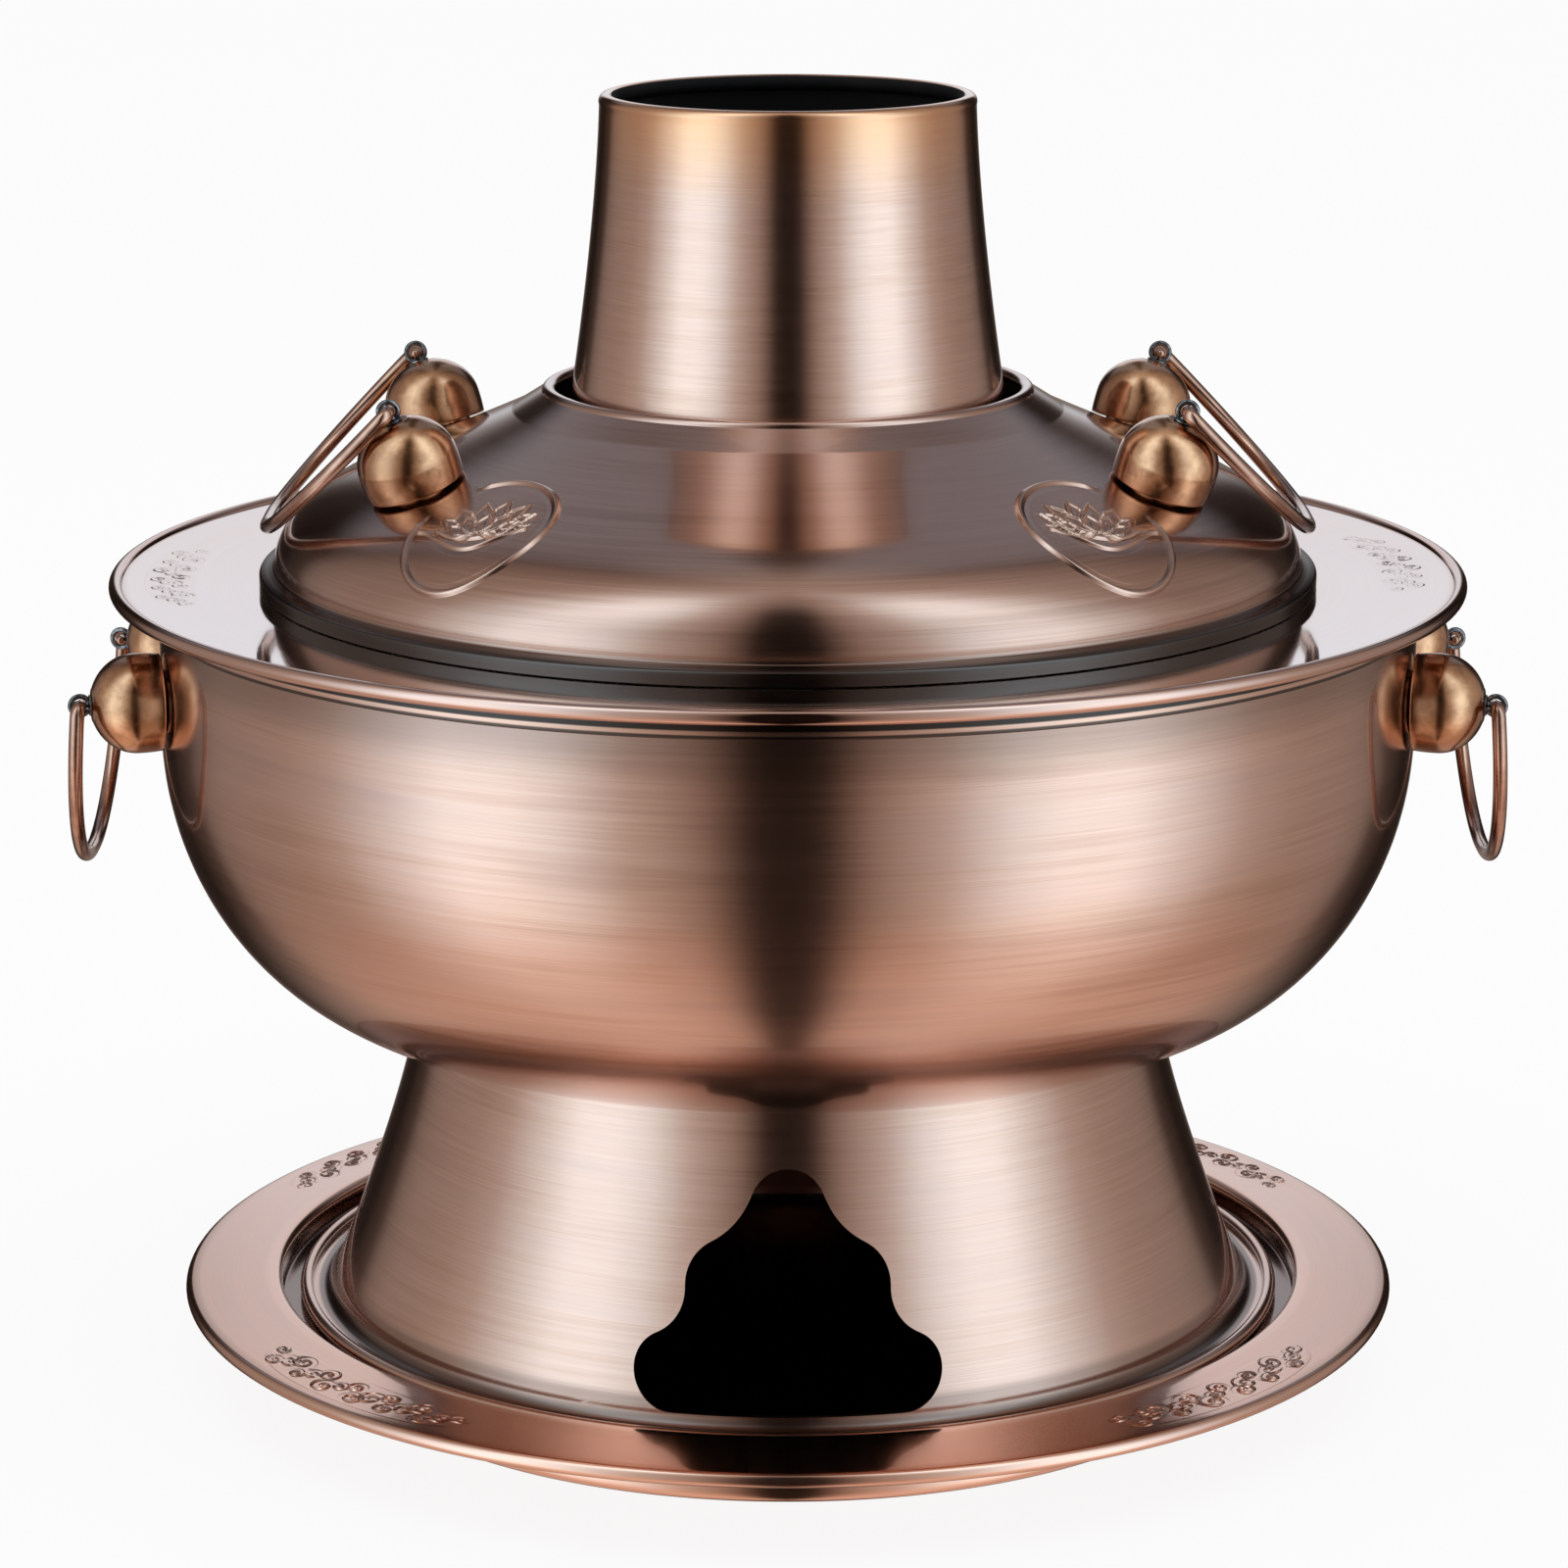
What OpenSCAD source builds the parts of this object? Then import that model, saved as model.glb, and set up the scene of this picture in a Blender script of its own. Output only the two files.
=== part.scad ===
// Chimney hot pot in spun copper: a ring-shaped bowl round a charcoal flue,
// on a flared foot that stands in a stepped tray, with a ring-shaped lid.
// Millimetres, +Z up, origin on the table under the middle of the tray.
// The front, with the air opening, faces -Y.

/* [Sheet copper] */
// Thickness of the spun copper sheet
sheet = 1.5; // [1:0.1:2]
// Radius of the rolled edges of tray, foot, brim and lid
roll_r = 1.8; // [1.5:0.1:2.4]
// Gap between parts that lift off one another
seat_gap = 0.3; // [0.2:0.05:0.6]

/* [Tray] */
// Width of the tray's rim, from the well to over its rolled edge
tray_rim_w = 24.8; // [17:0.1:44]
// Height of the tray's rim at its inner edge
tray_h = 23.8; // [22:0.1:32]
// Gap between the foot's flange and the well that it stands in
tray_well_gap = 4.5; // [2:0.5:12]
// Height of the ledge that carries the foot
tray_ledge_h = 17.4; // [10:0.1:19]
// Width of that ledge, from the well in to the ash pan
tray_ledge_w = 14; // [12:0.5:30]
// Fall of the tray's rim towards its outer edge
tray_fall = 1.2; // [0:0.1:3]

/* [Foot] */
// Height of the foot, from its flange to the bowl
foot_h = 76; // [60:0.5:95]
// Outer radius of the foot where it meets the bowl
foot_top_r = 95; // [90:0.5:102]
// How far the skirt flares out, from the bowl to the flange
foot_flare_w = 22; // [15:0.1:30]
// Width of the foot's flange outside the skirt, over its rolled edge
foot_flange_w = 9.5; // [8.5:0.1:14]
// Height of the cove between flange and skirt
foot_cove_h = 3.8; // [2.5:0.1:6]
// Power of the skirt's flare: 1 is a straight cone
foot_flare = 1.3; // [1:0.05:1.8]
// Width of the foot's top flange, which carries the grate
foot_ledge_w = 16; // [14:0.5:23]

/* [Air opening] */
// Height of the opening's sill above the bottom of the foot
vent_sill_h = 4.6; // [4.4:0.1:9]
// Radius of the lowest pair of lobes
vent_low_r = 9.2; // [7:0.1:11]
// Half spacing of the lowest pair of lobes
vent_low_x = 27.8; // [24:0.1:30]
// Radius of the middle pair of lobes
vent_mid_r = 11.6; // [9:0.1:13]
// Half spacing of the middle pair of lobes
vent_mid_x = 13.1; // [11:0.1:16]
// Rise from the lowest lobes to the middle ones
vent_mid_rise = 19.4; // [17:0.1:21]
// Radius of the top lobe
vent_top_r = 9.2; // [7:0.1:10]
// Rise from the middle lobes to the top one
vent_top_rise = 18.2; // [16:0.1:20]
// Radius of the hollow between the lowest and the middle lobes
vent_hollow_r = 11.5; // [6:0.5:14]
// Radius of the hollow between the middle lobes and the top one
vent_neck_r = 20.5; // [8:0.5:26]

/* [Bowl] */
// Outer radius of the bowl's wall
bowl_r = 158; // [152:0.5:163]
// Height of the bowl from the foot to the brim
bowl_h = 108.5; // [95:0.5:125]
// Height of the bowl's straight wall, above its rounded underside
bowl_wall_h = 33.5; // [30:0.5:45]
// Width of the bowl's flat floor, from the foot's edge in to its opening
bowl_floor_w = 10.8; // [10:0.1:12.4]

/* [Brim] */
// Width of the brim outside the bowl's wall, over its rolled edge
brim_w = 12; // [9:0.5:22]
// Width of the brim inside the bowl's wall, in to the mouth
mouth_inset = 31; // [29:0.5:40]
// Depth of the brim's neck below the lid's seat
neck_h = 9; // [6:0.5:14]
// Rise of the brim from the lid's seat to its edge
brim_rise = 2; // [0.5:0.1:4]
// Depth of the hem that grips the top of the bowl's wall
hem_h = 4.5; // [3:0.1:7]
// Clearance of the hem round the bowl's wall
hem_gap = 0.1; // [0.05:0.05:0.4]

/* [Flue] */
// Height of the flue above the bowl's floor
flue_h = 230; // [200:1:260]
// How far outside the floor's opening the flue stands
flue_rest_w = 3.8; // [2.4:0.1:4.6]
// Outer radius of the flue at its mouth
flue_top_r = 46.6; // [42:0.1:49]
// Power of the flue's inward curve: 1 is a straight cone
flue_curve = 1.5; // [1.3:0.05:1.8]
// Width of the flange that joins the flue to the floor
flue_flange_w = 6; // [3:0.5:7]
// Radius of the flue's rolled lip
lip_r = 2; // [1.6:0.1:2.6]

/* [Grate] */
// Thickness of the cast grate
grate_t = 3; // [2.5:0.1:5]
// Width of each slot in the grate
grate_slot_w = 6; // [5:0.5:8]
// Spacing of the slots
grate_pitch = 14; // [12:0.5:18]
// Width of the grate's solid rim
grate_rim_w = 9; // [6:0.5:14]
// Gap between the grate and the opening round it
grate_gap = 0.6; // [0.3:0.1:0.8]

/* [Lid] */
// Width of the lid's base band outside the mouth
lid_seat_w = 5.7; // [4:0.1:11]
// Height of the lid's base band
lid_band_h = 3.2; // [2:0.1:5]
// Step from the base band's edge in to the shoulder
lid_step_w = 3.9; // [3.2:0.1:4.7]
// Width of the round shoulder, up to the slope
lid_shoulder_w = 24.8; // [17:0.1:27]
// Height of the slope's lower end above the lid's lower edge
lid_slope_h = 28.4; // [26:0.1:29]
// Half height of the ellipse that the shoulder follows
lid_shoulder_h = 30; // [27:0.5:40]
// Height of the crease above the lid's lower edge
lid_crease_h = 42.8; // [38:0.1:50]
// Sag of the slope between shoulder and collar
lid_sag = 0.4; // [0:0.1:1.5]
// Gap round the flue at the top of the lid's collar
lid_hole_gap = 4.1; // [3:0.1:7]
// Width of the collar, from the hole out to the crease at its root
lid_collar_w = 11; // [8.5:0.5:14]
// Height of the lid's collar above the crease
lid_collar_h = 6.2; // [4:0.1:12]
// Gap between the lid's guide ring and the brim's neck
guide_gap = 0.8; // [0.5:0.1:2]
// Depth of the lid's guide ring below the lid
guide_h = 7; // [4:0.5:8]

/* [Ball ears] */
// Diameter of each ball
ball_d = 24.8; // [20:0.2:27]
// Length of each ball with its boss, from seat to tip
ball_l = 17.8; // [15:0.1:20]
// Radius of the ball's flat tip
ball_tip_r = 4.4; // [3.6:0.1:6]
// Radius of the boss between ball and wall
boss_r = 8; // [5:0.5:9]
// Height of the boss
boss_h = 0.6; // [0.5:0.1:2]
// Angle of the bowl's ears off the left-right axis
bowl_ear_az = 13; // [10:0.5:18]
// Depth of the bowl's ears below the brim
bowl_ear_drop = 23.2; // [20:0.1:27]
// Angle of the lid's ears off the left-right axis
lid_ear_az = 26; // [22:0.5:32]
// Distance of the lid's ears in from the round shoulder
lid_ear_inset = 4; // [3:0.5:12]

/* [Eye bolts] */
// Outer diameter of the eye
eye_d = 6; // [5.4:0.1:7]
// Thickness of the eye's wire
eye_wire = 1.3; // [1:0.1:1.5]
// Radius of the eye bolt's shank
shank_r = 1.6; // [1.2:0.1:2]
// Radial clearance of the shank in ball and sheet
shank_gap = 0.1; // [0.05:0.05:0.3]
// Radius of the washer inside the wall
washer_r = 5; // [4:0.5:6]
// Thickness of the washer
washer_t = 0.8; // [0.6:0.1:1.5]
// Gap between the flat washer and the curved wall
washer_gap = 0.15; // [0.1:0.05:0.3]
// Width across flats of the cap nut
nut_af = 7; // [5.5:0.5:8]
// Height of the cap nut's hexagon
nut_h = 2.6; // [2:0.1:4]

/* [Bails] */
// Diameter of the bail's wire
bail_wire = 3.6; // [3:0.1:4]
// Diameter of the pin at each end of a bail
bail_pin_d = 2.2; // [1.6:0.1:2.4]
// Length of each pin past the middle of its eye
bail_pin_out = 2.2; // [1.6:0.1:2.6]
// Distance from an eye's middle out to the bail's leg
bail_offset = 4.8; // [4.6:0.1:6]
// Radius of the elbow between pin and leg
bail_elbow_r = 2.6; // [2.3:0.1:2.8]
// Depth of the bowl's bails below their pins
bowl_bail_drop = 46.2; // [40:0.1:46.5]
// Depth of the lid's bails below their pins
lid_bail_drop = 48.6; // [42:0.1:48.8]
// Lean of the bowl's bails away from plumb, at rest
bowl_bail_lean = 4.5; // [4:0.5:12]
// How far the lid's bails reach outside the lid's wall, at rest
lid_bail_out = 1.4; // [1.4:0.1:8]

/* [Hidden] */
SIDES = [["left", -1], ["right", 1]];
ENDS = [["front", -1], ["back", 1]];

$fn = 96;
COPPER = [0.62, 0.42, 0.34];
WARM_COPPER = [0.72, 0.48, 0.3];
NICKEL = [0.4, 0.4, 0.42];
IRON = [0.24, 0.23, 0.23];
overcut = 1;

// heights above the table, from the tray up
foot_z = tray_ledge_h + seat_gap;
bowl_z = foot_z + foot_h;
floor_z = bowl_z + sheet;
bowl_round_h = bowl_h - bowl_wall_h;
brim_z = bowl_z + bowl_h;
seat_z = brim_z + sheet;
lid_z = seat_z + seat_gap;

// radii, from the foot out to the tray, in to the flue and up to the lid
foot_skirt_r = foot_top_r + foot_flare_w;
foot_flange_r = foot_skirt_r + foot_flange_w;
foot_ledge_r = foot_top_r - foot_ledge_w;
tray_well_r = foot_flange_r + tray_well_gap;
tray_pan_r = tray_well_r - tray_ledge_w;
tray_r = tray_well_r + tray_rim_w;
bowl_floor_r = foot_top_r - bowl_floor_w;
flue_base_r = bowl_floor_r + flue_rest_w;
brim_r = bowl_r + brim_w;
mouth_r = bowl_r - mouth_inset;
lid_r = mouth_r + lid_seat_w;
lid_wall_r = lid_r - lid_step_w;
lid_slope_r = lid_wall_r - lid_shoulder_w;
lid_collar_top_h = lid_crease_h + lid_collar_h;
lid_hole_r = flue_r(lid_z + lid_collar_top_h - floor_z) + lid_hole_gap;
lid_crease_r = lid_hole_r + lid_collar_w;

// ears: seat, lean of the ball's axis from vertical, and the eye's distance
bowl_ear_z = brim_z - bowl_ear_drop;
bowl_ear_lean = 90;
lid_ear_r = lid_slope_r - lid_ear_inset;
lid_ear_lean = atan(lid_slope_grade(lid_ear_r));
eye_ring_r = (eye_d - eye_wire) / 2;
eye_collar_h = 0.5;
eye_neck_h = 0.6;
seat_relief = 0.02;
lid_seat_relief = seat_relief + 4 * lid_sag * pow(boss_r / (lid_slope_r - lid_crease_r), 2);
eye_reach = ball_l + eye_collar_h + eye_neck_h + eye_ring_r - eye_wire / 2;
bowl_eye_r = bowl_r + eye_reach;
lid_eye_r = lid_ear_r + eye_reach * sin(lid_ear_lean);
lid_ear_z = lid_z + lid_slope_z(lid_ear_r) + lid_seat_relief;
lid_eye_z = lid_ear_z + eye_reach * cos(lid_ear_lean);
lid_bail_x = lid_eye_r * cos(lid_ear_az);
lid_bail_lean = asin((lid_wall_r + lid_bail_out - lid_bail_x) / lid_bail_drop);

// height of the lid's slope at radius r, with its slight sag, and how steep it is there
function lid_slope_t(r) = (lid_slope_r - r) / (lid_slope_r - lid_crease_r);
function lid_slope_z(r) =
    let (t = lid_slope_t(r))
    lid_slope_h + t * (lid_crease_h - lid_slope_h) - 4 * lid_sag * t * (1 - t);
function lid_slope_grade(r) =
    (lid_crease_h - lid_slope_h - 4 * lid_sag * (1 - 2 * lid_slope_t(r))) / (lid_slope_r - lid_crease_r);

function unit(v) = v / norm(v);
function leftward(p, i) = let (t = unit(p[i + 1] - p[i])) [-t[1], t[0]];
// outline point i moved sideways so that the sheet keeps its thickness
function mitre(p, i) =
    let (a = leftward(p, max(i - 1, 0)))
    let (b = leftward(p, min(i, len(p) - 2)))
    let (m = unit(a + b))
    m / (m * a);
function other_face(p, t) = [for (i = [len(p) - 1:-1:0]) p[i] + t * mitre(p, i)];
function arc(c, rx, rz, a0, a1, n) =
    [for (i = [0:n]) let (a = a0 + (a1 - a0) * i / n) [c[0] + rx * cos(a), c[1] + rz * sin(a)]];

// spins a sheet whose outer face follows path p; the metal lies to its left
module spun_sheet(p, t = sheet) {
    rotate_extrude() polygon(concat(p, other_face(p, t)));
}

module rolled_edge(r, z, bead) {
    translate([0, 0, z]) rotate_extrude() translate([r - bead, 0]) circle(bead);
}

// flue radius at height z above the floor: a power curve, widest at the floor
function flue_r(z) = flue_top_r + (flue_base_r - flue_top_r) * pow((flue_h - z) / flue_h, flue_curve);
// skirt radius at height z above the bottom of the foot
function skirt_r(z) =
    let (t = (foot_h - z) / (foot_h - sheet - foot_cove_h))
    foot_top_r + (foot_skirt_r - foot_top_r) * pow(t, foot_flare);

module tray() {
    corner = 3;
    rim_z = tray_h - sheet;
    path = concat(
        [[0, 0]],
        arc([tray_pan_r - corner, corner], corner, corner, -90, 0, 6),
        [[tray_pan_r, tray_ledge_h - sheet], [tray_well_r + sheet, tray_ledge_h - sheet]],
        [[tray_well_r + sheet, rim_z], [tray_r - roll_r, rim_z - tray_fall]]
    );
    color(COPPER) {
        spun_sheet(path);
        rolled_edge(tray_r, tray_h - tray_fall - roll_r, roll_r);
    }
}

// middle of the hollow of radius r that touches a lobe about a and the next one about b
function hollow_middle(a, ra, b, rb, r) =
    let (d = norm(b - a))
    let (u = (b - a) / d)
    let (t = (pow(ra + r, 2) - pow(rb + r, 2) + d * d) / (2 * d))
    a + t * u + sqrt(pow(ra + r, 2) - t * t) * [u[1], -u[0]];

// bearing of point b from point a, 0 to 360
function bearing(a, b) = let (w = atan2(b[1] - a[1], b[0] - a[0])) w < 0 ? w + 360 : w;
// a hollow's edge from the lobe about a to the lobe about b, without its two ends
function hollow_edge(c, r, a, b) =
    let (w0 = bearing(c, a))
    let (w1 = bearing(c, b))
    [for (i = [1:5]) let (w = w0 + (w1 - w0) * i / 6) [c[0] + r * cos(w), c[1] + r * sin(w)]];

// the stepped arch, flat: five round lobes in three rows over a sill, joined by hollows
module vent_shape() {
    low = [vent_low_x, vent_sill_h + vent_low_r];
    mid = [vent_mid_x, low[1] + vent_mid_rise];
    top = [0, mid[1] + vent_top_rise];
    hollow = hollow_middle(low, vent_low_r, mid, vent_mid_r, vent_hollow_r);
    neck = hollow_middle(mid, vent_mid_r, top, vent_top_r, vent_neck_r);
    edge = concat(
        arc(low, vent_low_r, vent_low_r, -90, bearing(hollow, low) - 180, 12),
        hollow_edge(hollow, vent_hollow_r, low, mid),
        arc(mid, vent_mid_r, vent_mid_r, bearing(hollow, mid) - 180, bearing(neck, mid) - 180, 7),
        hollow_edge(neck, vent_neck_r, mid, top),
        arc(top, vent_top_r, vent_top_r, bearing(neck, top) - 180, 90, 7)
    );
    polygon(concat(edge, [for (i = [len(edge) - 2:-1:0]) [-edge[i][0], edge[i][1]]]));
}

module foot() {
    flange_r = foot_flange_r - roll_r;
    cove_r = foot_skirt_r + foot_cove_h;
    skirt_base_h = sheet + foot_cove_h;
    steps = 12;
    path = concat(
        [[flange_r, sheet]],
        arc([cove_r, skirt_base_h], foot_cove_h, foot_cove_h, -90, -180, 6),
        [for (i = [1:steps]) let (z = skirt_base_h + (foot_h - skirt_base_h) * i / steps) [skirt_r(z), z]],
        [[foot_ledge_r, foot_h]]
    );
    color(COPPER) translate([0, 0, foot_z]) difference() {
        union() {
            spun_sheet(path);
            rolled_edge(foot_flange_r, roll_r, roll_r);
        }
        translate([0, -foot_top_r / 2, 0]) rotate([90, 0, 0])
            linear_extrude(foot_flange_r) vent_shape();
    }
}

// cast grate that lies loose on the foot's top flange, under the flue
module grate() {
    grate_r = bowl_floor_r - grate_gap;
    slot_r = grate_r - grate_rim_w;
    count = floor((slot_r - grate_slot_w / 2) / grate_pitch);
    color(IRON) translate([0, 0, bowl_z]) difference() {
        cylinder(h = grate_t, r = grate_r);
        for (i = [-count:count]) {
            x = i * grate_pitch;
            half = sqrt(slot_r * slot_r - pow(abs(x) + grate_slot_w / 2, 2));
            translate([x - grate_slot_w / 2, -half, -overcut])
                cube([grate_slot_w, 2 * half, grate_t + 2 * overcut]);
        }
    }
}

module bowl() {
    path = concat(
        [[bowl_floor_r, 0]],
        arc([foot_top_r, bowl_round_h], bowl_r - foot_top_r, bowl_round_h, -90, 0, 18),
        [[bowl_r, bowl_h]]
    );
    color(COPPER) difference() {
        translate([0, 0, bowl_z]) spun_sheet(path);
        on_bowl_ears() shank_hole();
    }
}

// wide brim: neck, level seat for the lid, rising rim, and a hem on the bowl
module brim() {
    seat_r = lid_r + 2;
    edge_r = brim_r - roll_r;
    edge_z = seat_z + brim_rise;
    corner = 2;
    neck = mouth_r + sheet;
    path = concat(
        [[neck, brim_z - neck_h]],
        arc([neck + corner, brim_z - corner], corner, corner, 180, 90, 5),
        [[seat_r, brim_z], [edge_r, edge_z - sheet]]
    );
    hem_r = bowl_r + hem_gap;
    color(COPPER) {
        spun_sheet(path);
        rolled_edge(brim_r, edge_z - sheet / 2, roll_r);
        translate([0, 0, brim_z - hem_h]) difference() {
            cylinder(h = hem_h + sheet, r = hem_r + sheet);
            translate([0, 0, -overcut]) cylinder(h = hem_h + sheet + 2 * overcut, r = hem_r);
        }
    }
}

// fire tube and chimney in one: a flange on the floor and a curved cone
module flue() {
    steps = 20;
    fillet = 1.2;
    lip_proud = 0.2;
    path = concat(
        [[flue_base_r + flue_flange_w, sheet], [flue_base_r + fillet, sheet]],
        [for (i = [0:steps]) let (z = sheet + fillet + (flue_h - lip_r - sheet - fillet) * i / steps) [flue_r(z), z]]
    );
    color(COPPER) translate([0, 0, floor_z]) {
        spun_sheet(path);
        rolled_edge(flue_top_r + lip_proud, flue_h - lip_r, lip_r);
    }
}

module lid() {
    cove = 2;
    wall_h = lid_band_h + cove;
    swing = asin((lid_slope_h - wall_h) / lid_shoulder_h);
    shoulder_w = (lid_wall_r - lid_slope_r) / (1 - cos(swing));
    collar_r = lid_hole_r + 2 * roll_r;
    bead_root = 0.6;
    path = concat(
        [[lid_r, 0], [lid_r, lid_band_h]],
        arc([lid_wall_r - shoulder_w, wall_h], shoulder_w, lid_shoulder_h, 0, swing, 14),
        [for (i = [1:7]) let (r = lid_slope_r + (lid_crease_r - lid_slope_r) * i / 8) [r, lid_slope_z(r)]],
        [[lid_crease_r, lid_crease_h], [collar_r - bead_root, lid_collar_top_h - roll_r + bead_root]]
    );
    color(COPPER) difference() {
        translate([0, 0, lid_z]) union() {
            spun_sheet(path);
            rolled_edge(collar_r, lid_collar_top_h - roll_r, roll_r);
        }
        on_lid_ears() shank_hole();
    }
}

// angle ring inside the lid that drops into the brim's neck
module lid_guide_ring() {
    ring_r = mouth_r - guide_gap;
    inner = ring_r - sheet;
    color(COPPER) translate([0, 0, lid_z]) difference() {
        union() {
            translate([0, 0, -guide_h]) cylinder(h = guide_h + sheet, r = ring_r);
            cylinder(h = sheet, r = lid_r - sheet);
        }
        translate([0, 0, -guide_h - overcut]) cylinder(h = guide_h + sheet + 2 * overcut, r = inner);
    }
}

// places children on one ear's seat: their +Z is the ball's axis
module at_ear(r, z, lean, az) {
    rotate([0, 0, az]) translate([r, 0, z]) rotate([0, lean, 0]) children();
}

function ear_az(side, end, az) = side > 0 ? end * az : 180 - end * az;

module at_bowl_ear(side, end) {
    at_ear(bowl_r, bowl_ear_z, bowl_ear_lean, ear_az(side, end, bowl_ear_az)) children();
}

module at_lid_ear(side, end) {
    at_ear(lid_ear_r, lid_ear_z, lid_ear_lean, ear_az(side, end, lid_ear_az)) children();
}

module on_bowl_ears() {
    for (s = SIDES, e = ENDS) at_bowl_ear(s[1], e[1]) children();
}

module on_lid_ears() {
    for (s = SIDES, e = ENDS) at_lid_ear(s[1], e[1]) children();
}

module shank_hole() {
    reach = 2 * sheet + overcut;
    translate([0, 0, -reach]) cylinder(h = 2 * reach, r = shank_r + shank_gap);
}

// acorn-shaped ball: full at the base, drawn in to a small flat tip
module ball() {
    waist_share = 0.36;
    tip_drop = 0.3;
    tip_bevel = 0.6;
    waist_h = boss_h + (ball_l - boss_h) * waist_share;
    low_h = 4 * (waist_h - boss_h);
    belly_r = ball_d / 2;
    tip_a = acos(ball_tip_r / belly_r);
    base_a = -asin((waist_h - boss_h) / low_h);
    crown_h = (ball_l - tip_drop - waist_h) / sin(tip_a);
    profile = concat(
        [[0, boss_h]],
        arc([0, waist_h], belly_r, low_h, base_a, 0, 4),
        arc([0, waist_h], belly_r, crown_h, 6, tip_a, 12),
        [[ball_tip_r - tip_bevel, ball_l], [0, ball_l]]
    );
    color(WARM_COPPER) difference() {
        union() {
            rotate_extrude() polygon(profile);
            cylinder(h = boss_h + overcut, r = boss_r);
        }
        translate([0, 0, -overcut]) cylinder(h = ball_l + 2 * overcut, r = shank_r + shank_gap);
    }
}

// turn of an eye about its shank that lines its hole up with the bail's pin
function eye_turn(lean, az) = -atan(cos(lean) * tan(az));

// lift is how far the ball's seat stands above the wall's own face
module eye_bolt(turn, lift) {
    collar_r = 2.6;
    tail = lift + sheet + washer_gap + washer_t + nut_h;
    color(NICKEL) {
        translate([0, 0, -tail]) cylinder(h = tail + ball_l + eye_collar_h + eye_neck_h, r = shank_r);
        translate([0, 0, ball_l]) cylinder(h = eye_collar_h, r = collar_r);
        translate([0, 0, eye_reach]) rotate([0, 0, turn]) rotate([90, 0, 0])
            rotate_extrude() translate([eye_ring_r, 0]) circle(eye_wire / 2, $fn = 32);
    }
}

module washer(lift) {
    color(NICKEL) translate([0, 0, -lift - sheet - washer_gap - washer_t]) difference() {
        cylinder(h = washer_t, r = washer_r);
        translate([0, 0, -overcut]) cylinder(h = washer_t + 2 * overcut, r = shank_r + shank_gap);
    }
}

// cap nut: a hexagon with a domed end, threaded on the shank's tail
module cap_nut(lift) {
    across = nut_af / cos(30);
    dome_r = nut_af / 2 - 0.4;
    dome_h = shank_r + 1;
    dome_root = 0.5;
    color(NICKEL) translate([0, 0, -lift - sheet - washer_gap - washer_t]) difference() {
        union() {
            translate([0, 0, -nut_h]) cylinder(h = nut_h, d = across, $fn = 6);
            translate([0, 0, -nut_h - dome_h]) rotate_extrude()
                polygon(concat(
                    [[0, dome_h + dome_root], [dome_r, dome_h + dome_root]],
                    arc([0, dome_h], dome_r, dome_h, 0, -90, 6)
                ));
        }
        translate([0, 0, -nut_h - shank_gap]) cylinder(h = nut_h + shank_gap + overcut, r = shank_r + shank_gap);
    }
}

// round wire bail, hanging down from a pivot along Y; its pins point inwards
module bail(half_span, drop) {
    wire_r = bail_wire / 2;
    pin_r = bail_pin_d / 2;
    leg_y = half_span + bail_offset;
    bend_r = min(drop - bail_elbow_r, leg_y);
    flat_half = leg_y - bend_r;
    straight = drop - bail_elbow_r - bend_r;
    pin_y = half_span - bail_pin_out;
    taper = 0.5;
    elbow_y = leg_y - bail_elbow_r;
    color(WARM_COPPER) {
        for (s = [0, 1]) mirror([0, s, 0]) {
            translate([0, pin_y, 0]) sphere(pin_r, $fn = 32);
            translate([0, pin_y, 0]) rotate([-90, 0, 0]) cylinder(h = elbow_y - pin_y, r = pin_r);
            translate([0, elbow_y - taper, 0]) rotate([-90, 0, 0]) cylinder(h = taper, r1 = pin_r, r2 = wire_r);
            translate([0, elbow_y, -bail_elbow_r]) rotate([0, 90, 0]) rotate([0, 0, 90])
                rotate_extrude(angle = 90) translate([bail_elbow_r, 0]) circle(wire_r, $fn = 32);
            if (straight > 0) translate([0, leg_y, -bail_elbow_r - straight]) cylinder(h = straight, r = wire_r, $fn = 32);
            translate([0, flat_half, -bail_elbow_r - straight]) rotate([0, 90, 0])
                rotate_extrude(angle = 90) translate([bend_r, 0]) circle(wire_r, $fn = 32);
            if (flat_half > 0) translate([0, 0, -drop]) rotate([-90, 0, 0]) cylinder(h = flat_half, r = wire_r, $fn = 32);
        }
    }
}

module bowl_bail(side) {
    translate([side * bowl_eye_r * cos(bowl_ear_az), 0, bowl_ear_z]) rotate([0, -side * bowl_bail_lean, 0])
        bail(bowl_eye_r * sin(bowl_ear_az), bowl_bail_drop);
}

module lid_bail(side) {
    translate([side * lid_bail_x, 0, lid_eye_z]) rotate([0, -side * lid_bail_lean, 0])
        bail(lid_eye_r * sin(lid_ear_az), lid_bail_drop);
}

tray();
foot();
grate();
bowl();
brim();
flue();
lid();
lid_guide_ring();
on_bowl_ears() washer(0);  // bowl_washers
on_bowl_ears() cap_nut(0);  // bowl_nuts
on_lid_ears() washer(lid_seat_relief);  // lid_washers
on_lid_ears() cap_nut(lid_seat_relief);  // lid_nuts
for (s = SIDES, e = ENDS) {
    name = str(e[0], "_", s[0]);
    at_bowl_ear(s[1], e[1]) ball();
    at_lid_ear(s[1], e[1]) ball();
    at_bowl_ear(s[1], e[1]) eye_bolt(0, 0);
    at_lid_ear(s[1], e[1]) eye_bolt(eye_turn(lid_ear_lean, s[1] * e[1] * lid_ear_az), lid_seat_relief);
}
for (s = SIDES) {
    bowl_bail(s[1]);
    lid_bail(s[1]);
}
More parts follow.
